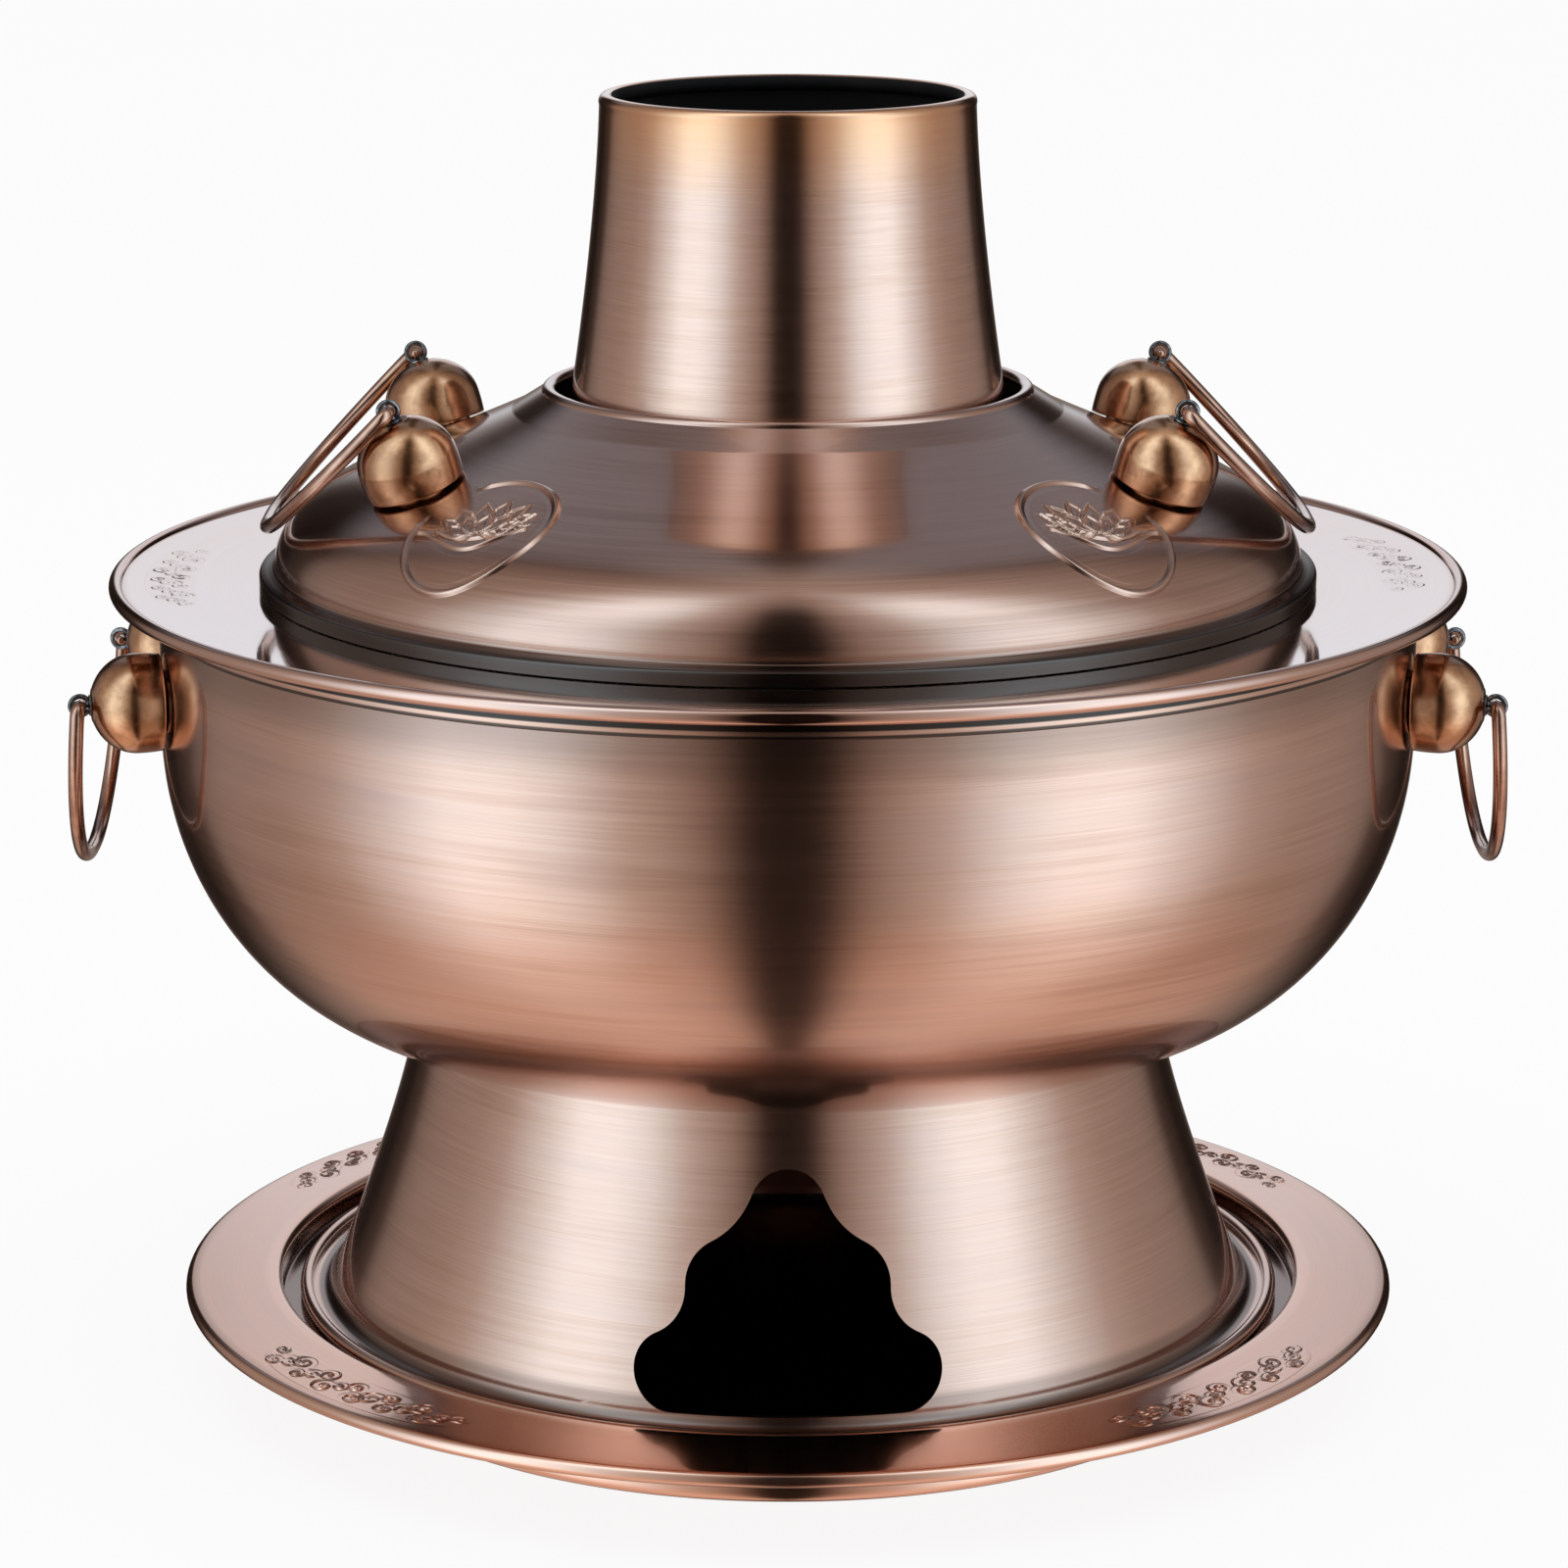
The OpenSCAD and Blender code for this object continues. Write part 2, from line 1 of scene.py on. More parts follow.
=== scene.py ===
"""Antique copper charcoal hot pot: every spun sheet, ball, bail and eye with its finish.

Profiles are (radius, height) points in millimetres and turn into metres when a mesh is made.
The pot's axis is Z and its front faces -Y.
"""
import math

import bmesh
import bpy
import numpy as np
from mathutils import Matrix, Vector


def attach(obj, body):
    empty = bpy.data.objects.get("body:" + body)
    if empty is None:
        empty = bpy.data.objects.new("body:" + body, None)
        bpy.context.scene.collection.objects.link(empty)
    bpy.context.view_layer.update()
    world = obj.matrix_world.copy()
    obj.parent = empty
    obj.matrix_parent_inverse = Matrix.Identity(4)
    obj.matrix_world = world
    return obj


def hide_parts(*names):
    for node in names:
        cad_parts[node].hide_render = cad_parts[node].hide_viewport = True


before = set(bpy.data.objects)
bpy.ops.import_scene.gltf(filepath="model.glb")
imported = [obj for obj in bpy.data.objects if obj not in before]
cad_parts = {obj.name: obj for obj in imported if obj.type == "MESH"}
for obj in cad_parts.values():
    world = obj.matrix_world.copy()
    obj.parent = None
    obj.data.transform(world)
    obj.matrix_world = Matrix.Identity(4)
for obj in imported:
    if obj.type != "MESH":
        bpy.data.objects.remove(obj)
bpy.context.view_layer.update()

MM = 0.001
SHEET = 1.5                  # thickness of the copper sheet
ROLL = 1.8                   # radius of a rolled edge
AROUND = 192                 # points round a spun piece
BEAD_POINTS = 22             # points round a rolled edge
PROFILE_STEP = 2.5           # longest stretch between two points of a profile
CREASE = math.radians(32)    # edges sharper than this stay crisp

# heights above the table of the foot, the bowl, the flue's base and the lid
FOOT_Z, BOWL_Z, FLOOR_Z, LID_Z = 17.7, 93.7, 95.2, 204.0

# the ball ears: seat radius, seat height, lean of the axis from vertical, angle off X
BOWL_EAR = (158.0, 179.0, 90.0, 13.0)
LID_EAR = (100.0, 233.9864, 20.603, 26.0)
EYE_REACH = 20.6             # from an ear's seat to the middle of its eye


# -------------------- materials

class Value:
    """A number on its way through a material; sums on it add Math nodes."""

    def __init__(self, finish, socket):
        self.finish, self.socket = finish, socket

    def _sum(self, operation, *terms):
        return self.finish.node("ShaderNodeMath", {"operation": operation}, dict(enumerate(terms)))

    def __add__(self, other): return self._sum("ADD", self, other)
    def __radd__(self, other): return self._sum("ADD", other, self)
    def __sub__(self, other): return self._sum("SUBTRACT", self, other)
    def __rsub__(self, other): return self._sum("SUBTRACT", other, self)
    def __mul__(self, other): return self._sum("MULTIPLY", self, other)
    def __rmul__(self, other): return self._sum("MULTIPLY", other, self)
    def __truediv__(self, other): return self._sum("DIVIDE", self, other)
    def __rtruediv__(self, other): return self._sum("DIVIDE", other, self)

    def function(self, operation, *others):
        """Any other Math node, such as a root or an angle."""
        return self._sum(operation, self, *others)

    def clamped(self):
        return self.finish.node("ShaderNodeClamp", {}, {0: self})

    def between(self, low, high):
        """0 below low and 1 above high, smooth between."""
        return self.finish.node("ShaderNodeMapRange", {"interpolation_type": "SMOOTHSTEP"},
                                {0: self, 1: low, 2: high})


class Finish:
    """A material, or the air of the studio, and the one way its nodes are made."""

    def __init__(self, name, store=None):
        self.owner = (bpy.data.materials if store is None else store).new(name)
        self.owner.use_nodes = True
        self.tree = self.owner.node_tree
        self.tree.nodes.clear()

    def node(self, kind, settings, sockets, out=0):
        """A node of this kind: its settings first, then the values or links of its sockets."""
        made = self.tree.nodes.new(kind)
        for key, value in settings.items():
            if key == "stops":
                ramp = made.color_ramp
                while len(ramp.elements) < len(value):
                    ramp.elements.new(0.5)
                for element, (place, colour) in zip(ramp.elements, value):
                    element.position = place
                    element.color = (*colour, 1)
            else:
                setattr(made, key, value)
        for key, value in sockets.items():
            if isinstance(value, Value):
                self.tree.links.new(value.socket, made.inputs[key])
            else:
                made.inputs[key].default_value = value
        return Value(self, made.outputs[out]) if len(made.outputs) else made

    def place(self):
        """Where the surface lies on the piece, in metres."""
        return self.node("ShaderNodeTexCoord", {}, {}, "Object")

    def parts(self, vector):
        """x, y and z of a vector."""
        return [self.node("ShaderNodeSeparateXYZ", {}, {0: vector}, axis) for axis in range(3)]

    def noise(self, vector, scale, detail, roughness):
        return self.node("ShaderNodeTexNoise", {}, {
            "Vector": vector, "Scale": scale, "Detail": detail, "Roughness": roughness})

    def mix(self, factor, a, b, blend="MIX"):
        a, b = ((*c, 1) if isinstance(c, tuple) else c for c in (a, b))
        return self.node("ShaderNodeMix", {"data_type": "RGBA", "blend_type": blend},
                         {0: factor, 6: a, 7: b}, 2)

    def bump(self, height, distance, strength):
        return self.node("ShaderNodeBump", {}, {
            "Height": height, "Distance": distance, "Strength": strength})

    def seen(self):
        """1 for the camera and in the mirror of metal or glass, 0 where only light is asked for."""
        rays = [self.node("ShaderNodeLightPath", {}, {}, f"Is {ray} Ray")
                for ray in ("Camera", "Glossy", "Transmission")]
        return (rays[0] + rays[1] + rays[2]).clamped()

    def metal(self, **sockets):
        """Ends the material in a Principled surface; underscores stand for spaces."""
        sockets = {key.replace("_", " "): value for key, value in sockets.items()}
        return self.end(self.node("ShaderNodeBsdfPrincipled", {}, sockets))

    def end(self, shader, output="ShaderNodeOutputMaterial"):
        self.node(output, {}, {"Surface": shader})
        return self.owner


# each copper is (fresh, old)
BODY_COPPER = (0.76, 0.475, 0.355), (0.50, 0.285, 0.205)
LID_COPPER = (0.66, 0.40, 0.295), (0.42, 0.235, 0.17)
TRAY_COPPER = (0.82, 0.49, 0.36), (0.68, 0.385, 0.275)
BRIM_COPPER = (0.90, 0.71, 0.62), (0.74, 0.57, 0.49)
MAUVE = (0.80, 0.86, 1.02)              # what old copper is multiplied by where it turns mauve
# colours of painted shade: the general one, the lid's painted dark reflection and the hem's painted
# shadow
PAINTED_SHADE_COLOUR = (0.085, 0.062, 0.055)
LID_PAINTED_REFLECTION = (0.045, 0.043, 0.041)
HEM_PAINTED_SHADOW = (0.026, 0.025, 0.024)
EDGE_COPPER = (0.60, 0.37, 0.29)
# a painted highlight for the tops of raised work
RIDGE_PAINTED_HIGHLIGHT = (0.78, 0.52, 0.41)
# a painted reflection, red under the flue's lip
LIP_PAINTED_REFLECTION = (0.74, 0.36, 0.17)

# how a profile runs, as the shares (rise, run) of height and radius in the way along it
UPRIGHT, CUPPED, DOMED, LEVEL = (1.0, 0.0), (1.0, 1.0), (1.0, -1.0), (0.0, 1.0)

# the foot's flange in metres, where painted shade is laid: radii where its cove ends and its bead
# begins, heights of its top
COVE_END, BEAD_START, FLANGE_TOP = (0.1150, 0.1180), (0.1222, 0.1232), (0.0205, 0.0235)


def brushed_copper(name, along, gloss, mottle, copper, shade_bands=(), shade_colour=PAINTED_SHADE_COLOUR, coat=0.8,
                   brush=0.6, flange_shade=0.0, glow=None, edge=None, relief=False):
    """Spun copper, brushed round the axis, darkened and lacquered, with painted shade, highlight
    and reflection.

    s = rise * z + run * radius is the way along the profile. Hairlines, streaks and bands are
    noise on (x / radius, y / radius, s), short across the profile and long round the pot; clouds
    are plain noise. Each shade band (low, high, soft, depth) paints shade on the copper between
    two heights, flange paints shade on the foot's lowest ring and relief paints shade in the
    hollows of raised work and a highlight on its tops. Upwards through the heights glow the copper
    reddens with a painted reflection, and past the radius edge it is redder copper.
    """
    f = Finish(name)
    where = f.place()
    x, y, z = f.parts(where)
    rise, run = along
    fresh, old = copper
    radius = (x * x + y * y).function("SQRT") + 0.001
    s = z * rise + radius * run
    cx, cy = x / radius, y / radius

    def marks(stretch, density, detail, roughness, start=0.0):
        spot = {0: cx * stretch, 1: cy * stretch, 2: s * density + start}
        return f.noise(f.node("ShaderNodeCombineXYZ", {}, spot), 1.0, detail, roughness)

    hair = marks(3.0, 2600.0, 2.0, 0.6)
    streak = marks(1.5, 520.0, 3.0, 0.6)
    band = marks(1.3, 85.0, 2.0, 0.5, start=3.0)
    cloud = f.noise(where, 13.0, 2.0, 0.5)
    tone = ((hair - 0.5) * 0.38 + (streak - 0.5) * 0.55 + (band - 0.5) * 0.60 * mottle
            + (cloud - 0.5) * 0.55 * mottle + 0.5)
    colour = f.mix(tone.between(0.18, 0.82), old, fresh)
    mauve = (band * 0.5 + cloud * 0.5 - 0.5) * 3.2 * mottle + (streak - 0.5) * 1.2 + 0.25
    colour = f.mix(mauve.clamped() * 0.6, colour, tuple(c * k for c, k in zip(old, MAUVE)))
    if edge is not None:
        colour = f.mix(radius.between(edge - 0.0012, edge + 0.0008), colour, EDGE_COPPER)
    # painted shade: bands of height darkened as if in shade
    painted_shade_masks = [z.between(low - soft, low + soft) * (1 - z.between(high - soft, high + soft)) * depth
            for low, high, soft, depth in shade_bands]
    # painted shade on the foot's cove and flange, down in the tray's well
    if flange_shade:
        painted_shade_masks.append(radius.between(*COVE_END) * (1 - radius.between(*BEAD_START))
                    * (1 - z.between(*FLANGE_TOP)) * flange_shade)
    if relief:
        # painted highlight on the tops of raised work and painted shade in its hollows
        height = f.node("ShaderNodeAttribute", {"attribute_name": "relief"}, {}, "Fac")
        colour = f.mix(height.between(0.60, 1.0) * 0.35, colour, RIDGE_PAINTED_HIGHLIGHT)
        painted_shade_masks.append((1 - height.between(0.18, 0.49)) * 0.85)
    # each painted shade mixes in its dark colour and thins the lacquer there
    for part in painted_shade_masks:
        colour = f.mix(part, colour, shade_colour)
        coat = coat * (1 - part * 0.85)
    # painted reflection: the copper reddens towards the flue's lip
    if glow is not None:
        colour = f.mix(z.between(*glow) * 0.8, colour, LIP_PAINTED_REFLECTION)
    rough = gloss + (hair - 0.5) * 0.06 + (streak - 0.5) * 0.05
    return f.metal(Base_Color=colour, Metallic=1.0, Roughness=rough, Anisotropic=brush,
                   Anisotropic_Rotation=0.25, Coat_Weight=coat, Coat_Roughness=0.03, Coat_IOR=1.5,
                   Normal=f.bump(hair + streak * 0.5, 0.00001, 0.35))


def warm_copper(name, light, deep, gloss):
    """Turned and lacquered copper, darkened with age in soft clouds."""
    f = Finish(name)
    where = f.place()
    cloud = f.noise(where, 90.0, 3.0, 0.55)
    small = f.noise(where, 420.0, 2.0, 0.6)
    colour = f.mix((cloud * 0.7 + small * 0.3).between(0.38, 0.64), deep, light)
    return f.metal(Base_Color=colour, Metallic=1.0, Roughness=gloss + (small - 0.5) * 0.10,
                   Coat_Weight=0.9, Coat_Roughness=0.07, Coat_IOR=1.5,
                   Normal=f.bump(small, 0.00002, 0.5))


def dark_nickel():
    """Blackened nickel plate, rubbed a little brighter in small spots."""
    f = Finish("dark_nickel")
    rub = f.noise(f.place(), 600.0, 3.0, 0.6)
    colour = f.mix(rub.between(0.42, 0.66), (0.10, 0.097, 0.10), (0.30, 0.29, 0.29))
    return f.metal(Base_Color=colour, Metallic=1.0, Roughness=0.16 + rub * 0.14,
                   Normal=f.bump(rub, 0.00002, 0.4))


def soot_and_shade():
    """Fire-blackened copper inside the flue and the foot, painted near black for the shade in there
    too.
    """
    f = Finish("soot_and_shade")
    where = f.place()
    grain = f.noise(where, 700.0, 3.0, 0.6)
    cloud = f.noise(where, 45.0, 3.0, 0.55)
    colour = f.mix(cloud.between(0.5, 0.75), (0.004, 0.0036, 0.0034), (0.011, 0.009, 0.008))
    return f.metal(Base_Color=colour, Metallic=0.0, Roughness=0.72 + grain * 0.2,
                   Specular_IOR_Level=0.15, Normal=f.bump(grain, 0.0001, 0.4))


def tinned():
    """Tin wiped over the copper inside the bowl and under the lid."""
    f = Finish("tinned")
    where = f.place()
    cloud = f.noise(where, 60.0, 4.0, 0.6)
    grain = f.noise(where, 900.0, 2.0, 0.6)
    colour = f.mix(cloud.between(0.4, 0.66), (0.50, 0.47, 0.44), (0.66, 0.64, 0.61))
    return f.metal(Base_Color=colour, Metallic=1.0, Roughness=0.30 + cloud * 0.16,
                   Normal=f.bump(grain, 0.00004, 0.5))


def cast_iron():
    """Rough black iron of the grate, a little rusty in clouds."""
    f = Finish("cast_iron")
    where = f.place()
    grain = f.noise(where, 1400.0, 3.0, 0.65)
    cloud = f.noise(where, 70.0, 3.0, 0.6)
    colour = f.mix(cloud.between(0.45, 0.7), (0.018, 0.017, 0.017), (0.05, 0.043, 0.039))
    return f.metal(Base_Color=colour, Metallic=0.6, Roughness=0.62 + grain * 0.25,
                   Normal=f.bump(grain, 0.0003, 0.6))


# the flue's top reddened by a painted reflection under its lip
copper_flue = brushed_copper("copper_flue", UPRIGHT, 0.20, 0.7, BODY_COPPER, glow=(0.300, 0.3225))
# painted shade in a band where the skirt meets its cove, and on the flange
copper_foot = brushed_copper("copper_foot", UPRIGHT, 0.21, 0.9, BODY_COPPER,
                             [(0.0226, 0.0258, 0.0012, 0.45)], flange_shade=0.8)
# painted shade round the bowl's top, under the brim
copper_bowl = brushed_copper("copper_bowl", CUPPED, 0.21, 1.5, BODY_COPPER,
                             [(0.190, 0.21, 0.006, 0.45)])
# a painted dark reflection round the lid's base band
copper_lid = brushed_copper("copper_lid", DOMED, 0.17, 1.0, LID_COPPER,
                            [(0.19, 0.2087, 0.0012, 0.92)], LID_PAINTED_REFLECTION)
# raised work on the lid, with painted highlight on its tops and painted shade in its hollows
relief_lid = brushed_copper("relief_lid", DOMED, 0.23, 1.0, LID_COPPER, coat=0.35, relief=True)
# painted shadow from the brim's bead over the hem, a thin line left between its two bands
copper_hem = brushed_copper("copper_hem", UPRIGHT, 0.21, 1.0, BODY_COPPER,
                            [(0.1997, 0.21, 0.0002, 0.96), (0.1975, 0.1987, 0.0002, 0.9)],
                            HEM_PAINTED_SHADOW, coat=0.4)
# painted shade on the tray's ledge, in the recess round the foot
copper_flat = brushed_copper("copper_flat", LEVEL, 0.16, 0.8, TRAY_COPPER,
                             [(0.0168, 0.0182, 0.0004, 0.85)], coat=0.6, brush=0.25)
# raised work on the tray, with painted highlight on its tops and painted shade in its hollows
relief_flat = brushed_copper("relief_flat", LEVEL, 0.16, 0.8, TRAY_COPPER, coat=0.6, brush=0.25,
                             relief=True)
# painted shade under the brim and down its neck
copper_brim = brushed_copper("copper_brim", LEVEL, 0.06, 0.6, BRIM_COPPER,
                             [(0.18, 0.2030, 0.0006, 0.88)], coat=0.5, brush=0.0, edge=0.1672)
# raised work on the brim, with painted highlight on its tops and painted shade in its hollows
relief_brim = brushed_copper("relief_brim", LEVEL, 0.14, 0.6, BRIM_COPPER, coat=0.5, brush=0.0,
                             relief=True)
ball_copper = warm_copper("ball_copper", (0.66, 0.335, 0.165), (0.40, 0.175, 0.075), 0.22)
bail_copper = warm_copper("bail_copper", (0.53, 0.29, 0.20), (0.36, 0.18, 0.12), 0.18)
nickel, soot_and_shade_black, tin, iron = dark_nickel(), soot_and_shade(), tinned(), cast_iron()


# -------------------- shapes

def arc(centre, rx, rz, a0, a1, count):
    """centre + (rx cos a, rz sin a) for a from a0 to a1 degrees."""
    a = np.radians(np.linspace(a0, a1, count + 1))
    return np.stack([centre[0] + rx * np.cos(a), centre[1] + rz * np.sin(a)], 1)


def rounded(corners, radii, count=6):
    """A polyline whose inner corners are circular arcs, each tangent to both its sides."""
    corners = np.asarray(corners, float)
    parts = [corners[:1]]
    for k, radius in enumerate(radii, 1):
        back = corners[k - 1] - corners[k]
        on = corners[k + 1] - corners[k]
        back, on = back / np.linalg.norm(back), on / np.linalg.norm(on)
        half = math.acos(np.clip(back @ on, -1, 1)) / 2
        if radius <= 0 or half > math.radians(89):
            parts.append(corners[k:k + 1])
            continue
        middle = (back + on) / np.linalg.norm(back + on) * radius / math.sin(half)
        start, end = (way * radius / math.tan(half) - middle for way in (back, on))
        a0, a1 = math.atan2(start[1], start[0]), math.atan2(end[1], end[0])
        a1 += 2 * math.pi * round((a0 - a1) / (2 * math.pi))
        a = np.linspace(a0, a1, count + 1)
        parts.append(corners[k] + middle + radius * np.stack([np.cos(a), np.sin(a)], 1))
    parts.append(corners[-1:])
    return np.vstack(parts)


def closer(path, step=PROFILE_STEP):
    """The same polyline with a point at least every step."""
    part = np.diff(path, axis=0)
    count = np.maximum(1, np.ceil(np.hypot(*part.T) / step)).astype(int)
    dense = [path[k] + part[k] * np.linspace(0, 1, n, endpoint=False)[:, None]
             for k, n in enumerate(count)]
    return np.vstack([*dense, path[-1:]])


def beside(path, distance):
    """The polyline moved to its left by distance, mitred at its points."""
    way = np.diff(path, axis=0)
    way = way / np.linalg.norm(way, axis=1)[:, None]
    left = np.stack([-way[:, 1], way[:, 0]], 1)
    before, after = np.vstack([left[:1], left]), np.vstack([left, left[-1:]])
    middle = before + after
    middle = middle / np.linalg.norm(middle, axis=1)[:, None]
    return path + distance * middle / (middle * before).sum(1)[:, None]


def round_bead(bead, start, end):
    """Points on the bead's circle, turning left from start to end."""
    centre, radius = np.array(bead[:2]), bead[2]
    a0, a1 = (math.atan2(p[1] - centre[1], p[0] - centre[0]) for p in (start, end))
    a1 += 2 * math.pi if a1 <= a0 else 0
    a = np.linspace(a0, a1, BEAD_POINTS + 2)[1:-1]
    return centre + radius * np.stack([np.cos(a), np.sin(a)], 1)


def up_to_bead(path, bead):
    """The polyline from its start to the place where it meets the bead's circle."""
    off = path - np.array(bead[:2])
    inside = np.flatnonzero(np.hypot(*off.T) < bead[2] + 1e-6)
    if not len(inside):
        return path
    k = inside[0]
    way = off[k] - off[k - 1]
    a, b, c = way @ way, 2 * off[k - 1] @ way, off[k - 1] @ off[k - 1] - bead[2] ** 2
    t = (-b - math.sqrt(max(b * b - 4 * a * c, 0))) / (2 * a)
    return np.vstack([path[:k], path[k - 1] + way * np.clip(t, 0.02, 1)])


def sheet_loop(face, first=None, last=None):
    """Closed profile of a sheet: its outer face, a bead (radius, height, bead radius) or a cut
    end, its inner face backwards, and a bead or a cut end again. Also the number of points
    on the outer face and its last bead."""
    inner = beside(face, SHEET)[::-1]
    outer = face
    if last is not None:
        outer, inner = up_to_bead(outer, last), up_to_bead(inner[::-1], last)[::-1]
    if first is not None:
        outer, inner = up_to_bead(outer[::-1], first)[::-1], up_to_bead(inner, first)
    parts = [outer]
    if last is not None:
        parts.append(round_bead(last, outer[-1], inner[0]))
    outside = sum(len(p) for p in parts)
    parts.append(inner)
    if first is not None:
        parts.append(round_bead(first, inner[-1], outer[0]))
    return np.vstack(parts), outside


def quads(rows, columns, wrap_rows, wrap_columns):
    """Faces of a grid of points, each (i, j), (i, j + 1), (i + 1, j + 1), (i + 1, j)."""
    i, j = np.meshgrid(np.arange(rows - (not wrap_rows)), np.arange(columns - (not wrap_columns)),
                       indexing="ij")
    i2, j2 = (i + 1) % rows, (j + 1) % columns
    corners = [i * columns + j, i * columns + j2, i2 * columns + j2, i2 * columns + j]
    return np.stack(corners, -1).reshape(-1, 4)


def spin(loop, around=AROUND, closed=True):
    """x = r cos a, y = r sin a, z = z for each point (r, z) of the profile, a all round."""
    a = np.arange(around) * 2 * np.pi / around
    r, z = loop[:, :1], loop[:, 1:]
    points = np.stack([r * np.cos(a), r * np.sin(a), z + 0 * a], -1).reshape(-1, 3)
    return points, quads(len(loop), around, closed, True)


def tube(line, radius, across, around=24):
    """line + radius (cos a N + sin a across), N the line's normal in its own plane."""
    way = np.gradient(line, axis=0)
    way = way / np.linalg.norm(way, axis=1)[:, None]
    normal = np.cross(across, way)
    a = (np.arange(around) * 2 * np.pi / around)[None, :, None]
    ring = np.cos(a) * normal[:, None] + np.sin(a) * np.asarray(across)
    points = line[:, None] + radius[:, None, None] * ring
    return points.reshape(-1, 3), quads(len(line), around, False, True)


def turned(points, axis, degrees):
    """Points turned about the X, Y or Z axis (0, 1 or 2)."""
    c, s = math.cos(math.radians(degrees)), math.sin(math.radians(degrees))
    u, v = (axis + 1) % 3, (axis + 2) % 3
    out = points.copy()
    out[:, u] = c * points[:, u] - s * points[:, v]
    out[:, v] = s * points[:, u] + c * points[:, v]
    return out


def at_ear(points, ear, azimuth):
    """From a ball's own frame, its axis along Z, to its seat on the pot."""
    seat_r, seat_z, lean, _ = ear
    return turned(turned(points, 1, lean) + (seat_r, 0, seat_z), 2, azimuth)


def new_object(name, points, faces, materials, which=None):
    """A mesh object from points in mm and faces; which numbers the material of each face."""
    mesh = bpy.data.meshes.new(name)
    mesh.from_pydata((points * MM).tolist(), [], faces)
    for material in materials:
        mesh.materials.append(material)
    if which is not None:
        mesh.polygons.foreach_set("material_index", np.asarray(which, int))
    mesh.shade_smooth()
    made = bpy.data.objects.new(name, mesh)
    bpy.context.scene.collection.objects.link(made)
    return made


def merge_doubles(shape):
    bmesh.ops.remove_doubles(shape, verts=shape.verts, dist=1e-7)


def drop_loose_and_face_out(shape):
    loose = [v for v in shape.verts if not v.link_faces]
    bmesh.ops.delete(shape, geom=loose, context="VERTS")
    bmesh.ops.recalc_face_normals(shape, faces=shape.faces)


def mend(mesh, repair):
    """Does one repair on the mesh and marks its creases."""
    shape = bmesh.new()
    shape.from_mesh(mesh)
    repair(shape)
    shape.to_mesh(mesh)
    shape.free()
    mesh.set_sharp_from_angle(angle=CREASE)


def give_place(made, body, slot, *nodes):
    """The body that a piece rides and the nodes that it stands for; its slot is not used."""
    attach(made, body)
    if nodes:
        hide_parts(*nodes)


def piece(name, shells, materials, body, slot, node, which=None):
    """One piece from closed shells of (points in mm, faces), in place of its node."""
    starts = np.cumsum([0] + [len(points) for points, _ in shells[:-1]])
    points = np.vstack([points for points, _ in shells])
    faces = np.vstack([faces + start for (_, faces), start in zip(shells, starts)])
    made = new_object(name, points, faces.tolist(), materials, which)
    mend(made.data, merge_doubles)
    give_place(made, body, slot, node)


def inner_faces(rows, outside):
    """False for the faces of the first rows, on a sheet's outer side, and True for the others."""
    return np.repeat(np.arange(rows) >= outside, AROUND)


# -------------------- tray

PAN_R, WELL_R, TRAY_R, LEDGE_H = 117.0, 132.5, 154.0, 15.9

# the ash pan, the ledge under the foot, the well's wall and the wide rim
tray_face = closer(rounded([(0, 0), (PAN_R, 0), (PAN_R, LEDGE_H), (WELL_R, LEDGE_H),
                            (WELL_R, 22.3), (TRAY_R, 21.1)], [3, 1, 2.2, 0.7]))
tray_loop, _ = sheet_loop(tray_face, last=(TRAY_R, 20.8, ROLL))
piece("tray_spun", [spin(tray_loop, closed=False)], [copper_flat], "tray", "antique_copper", "tray")


# -------------------- foot

NECK_R, FOOT_H, COVE_R, COVE_H, FLANGE_R = 95.0, 76.0, 3.8, 5.3, 124.7


def skirt_radius(h):
    """95 + 22 ((76 - h) / 70.7) ^ 1.3: the flare of the skirt."""
    return NECK_R + 22 * ((FOOT_H - h) / 70.7) ** 1.3


skirt_h = np.linspace(COVE_H, FOOT_H, 73)[1:-2]
foot_face = np.vstack([[(FLANGE_R, SHEET)], arc((120.8, COVE_H), COVE_R, COVE_R, -90, -180, 10),
                       np.stack([skirt_radius(skirt_h), skirt_h], 1),
                       rounded([(95.18, 74.2), (NECK_R, FOOT_H), (79, FOOT_H)], [1.7])[1:]])
foot_loop, foot_outside = sheet_loop(closer(foot_face) + (0, FOOT_Z),
                                     first=(FLANGE_R, ROLL + FOOT_Z, ROLL))

# the stepped air opening: round lobes (x, height, radius) in three rows over a flat sill,
# joined by hollows (x, height, radius) that touch the lobes below and above
SILL = 4.6
LOW_LOBE, MID_LOBE, TOP_LOBE = (27.8, 13.8, 9.2), (13.1, 33.2, 11.6), (0.0, 51.4, 9.2)
LOW_HOLLOW, HIGH_HOLLOW = 11.5, 20.5
VENT_MIDDLE = 20.0           # the height from which the opening's edge is seen
# the block of the skirt's grid that gives way to the opening: its heights and half its angle
BLOCK_LOW, BLOCK_HIGH, BLOCK_ANGLE = FOOT_Z + 4.0, FOOT_Z + 64.0, 24


def hollow_between(a, b, radius):
    """The circle of that radius that touches lobes a and b from the right."""
    apart = np.subtract(b[:2], a[:2])
    far = np.hypot(*apart)
    along = ((a[2] + radius) ** 2 - (b[2] + radius) ** 2 + far ** 2) / (2 * far)
    out = math.sqrt((a[2] + radius) ** 2 - along ** 2)
    middle = np.array(a[:2]) + (along * apart + out * np.array([apart[1], -apart[0]])) / far
    return (middle[0], middle[1], radius)


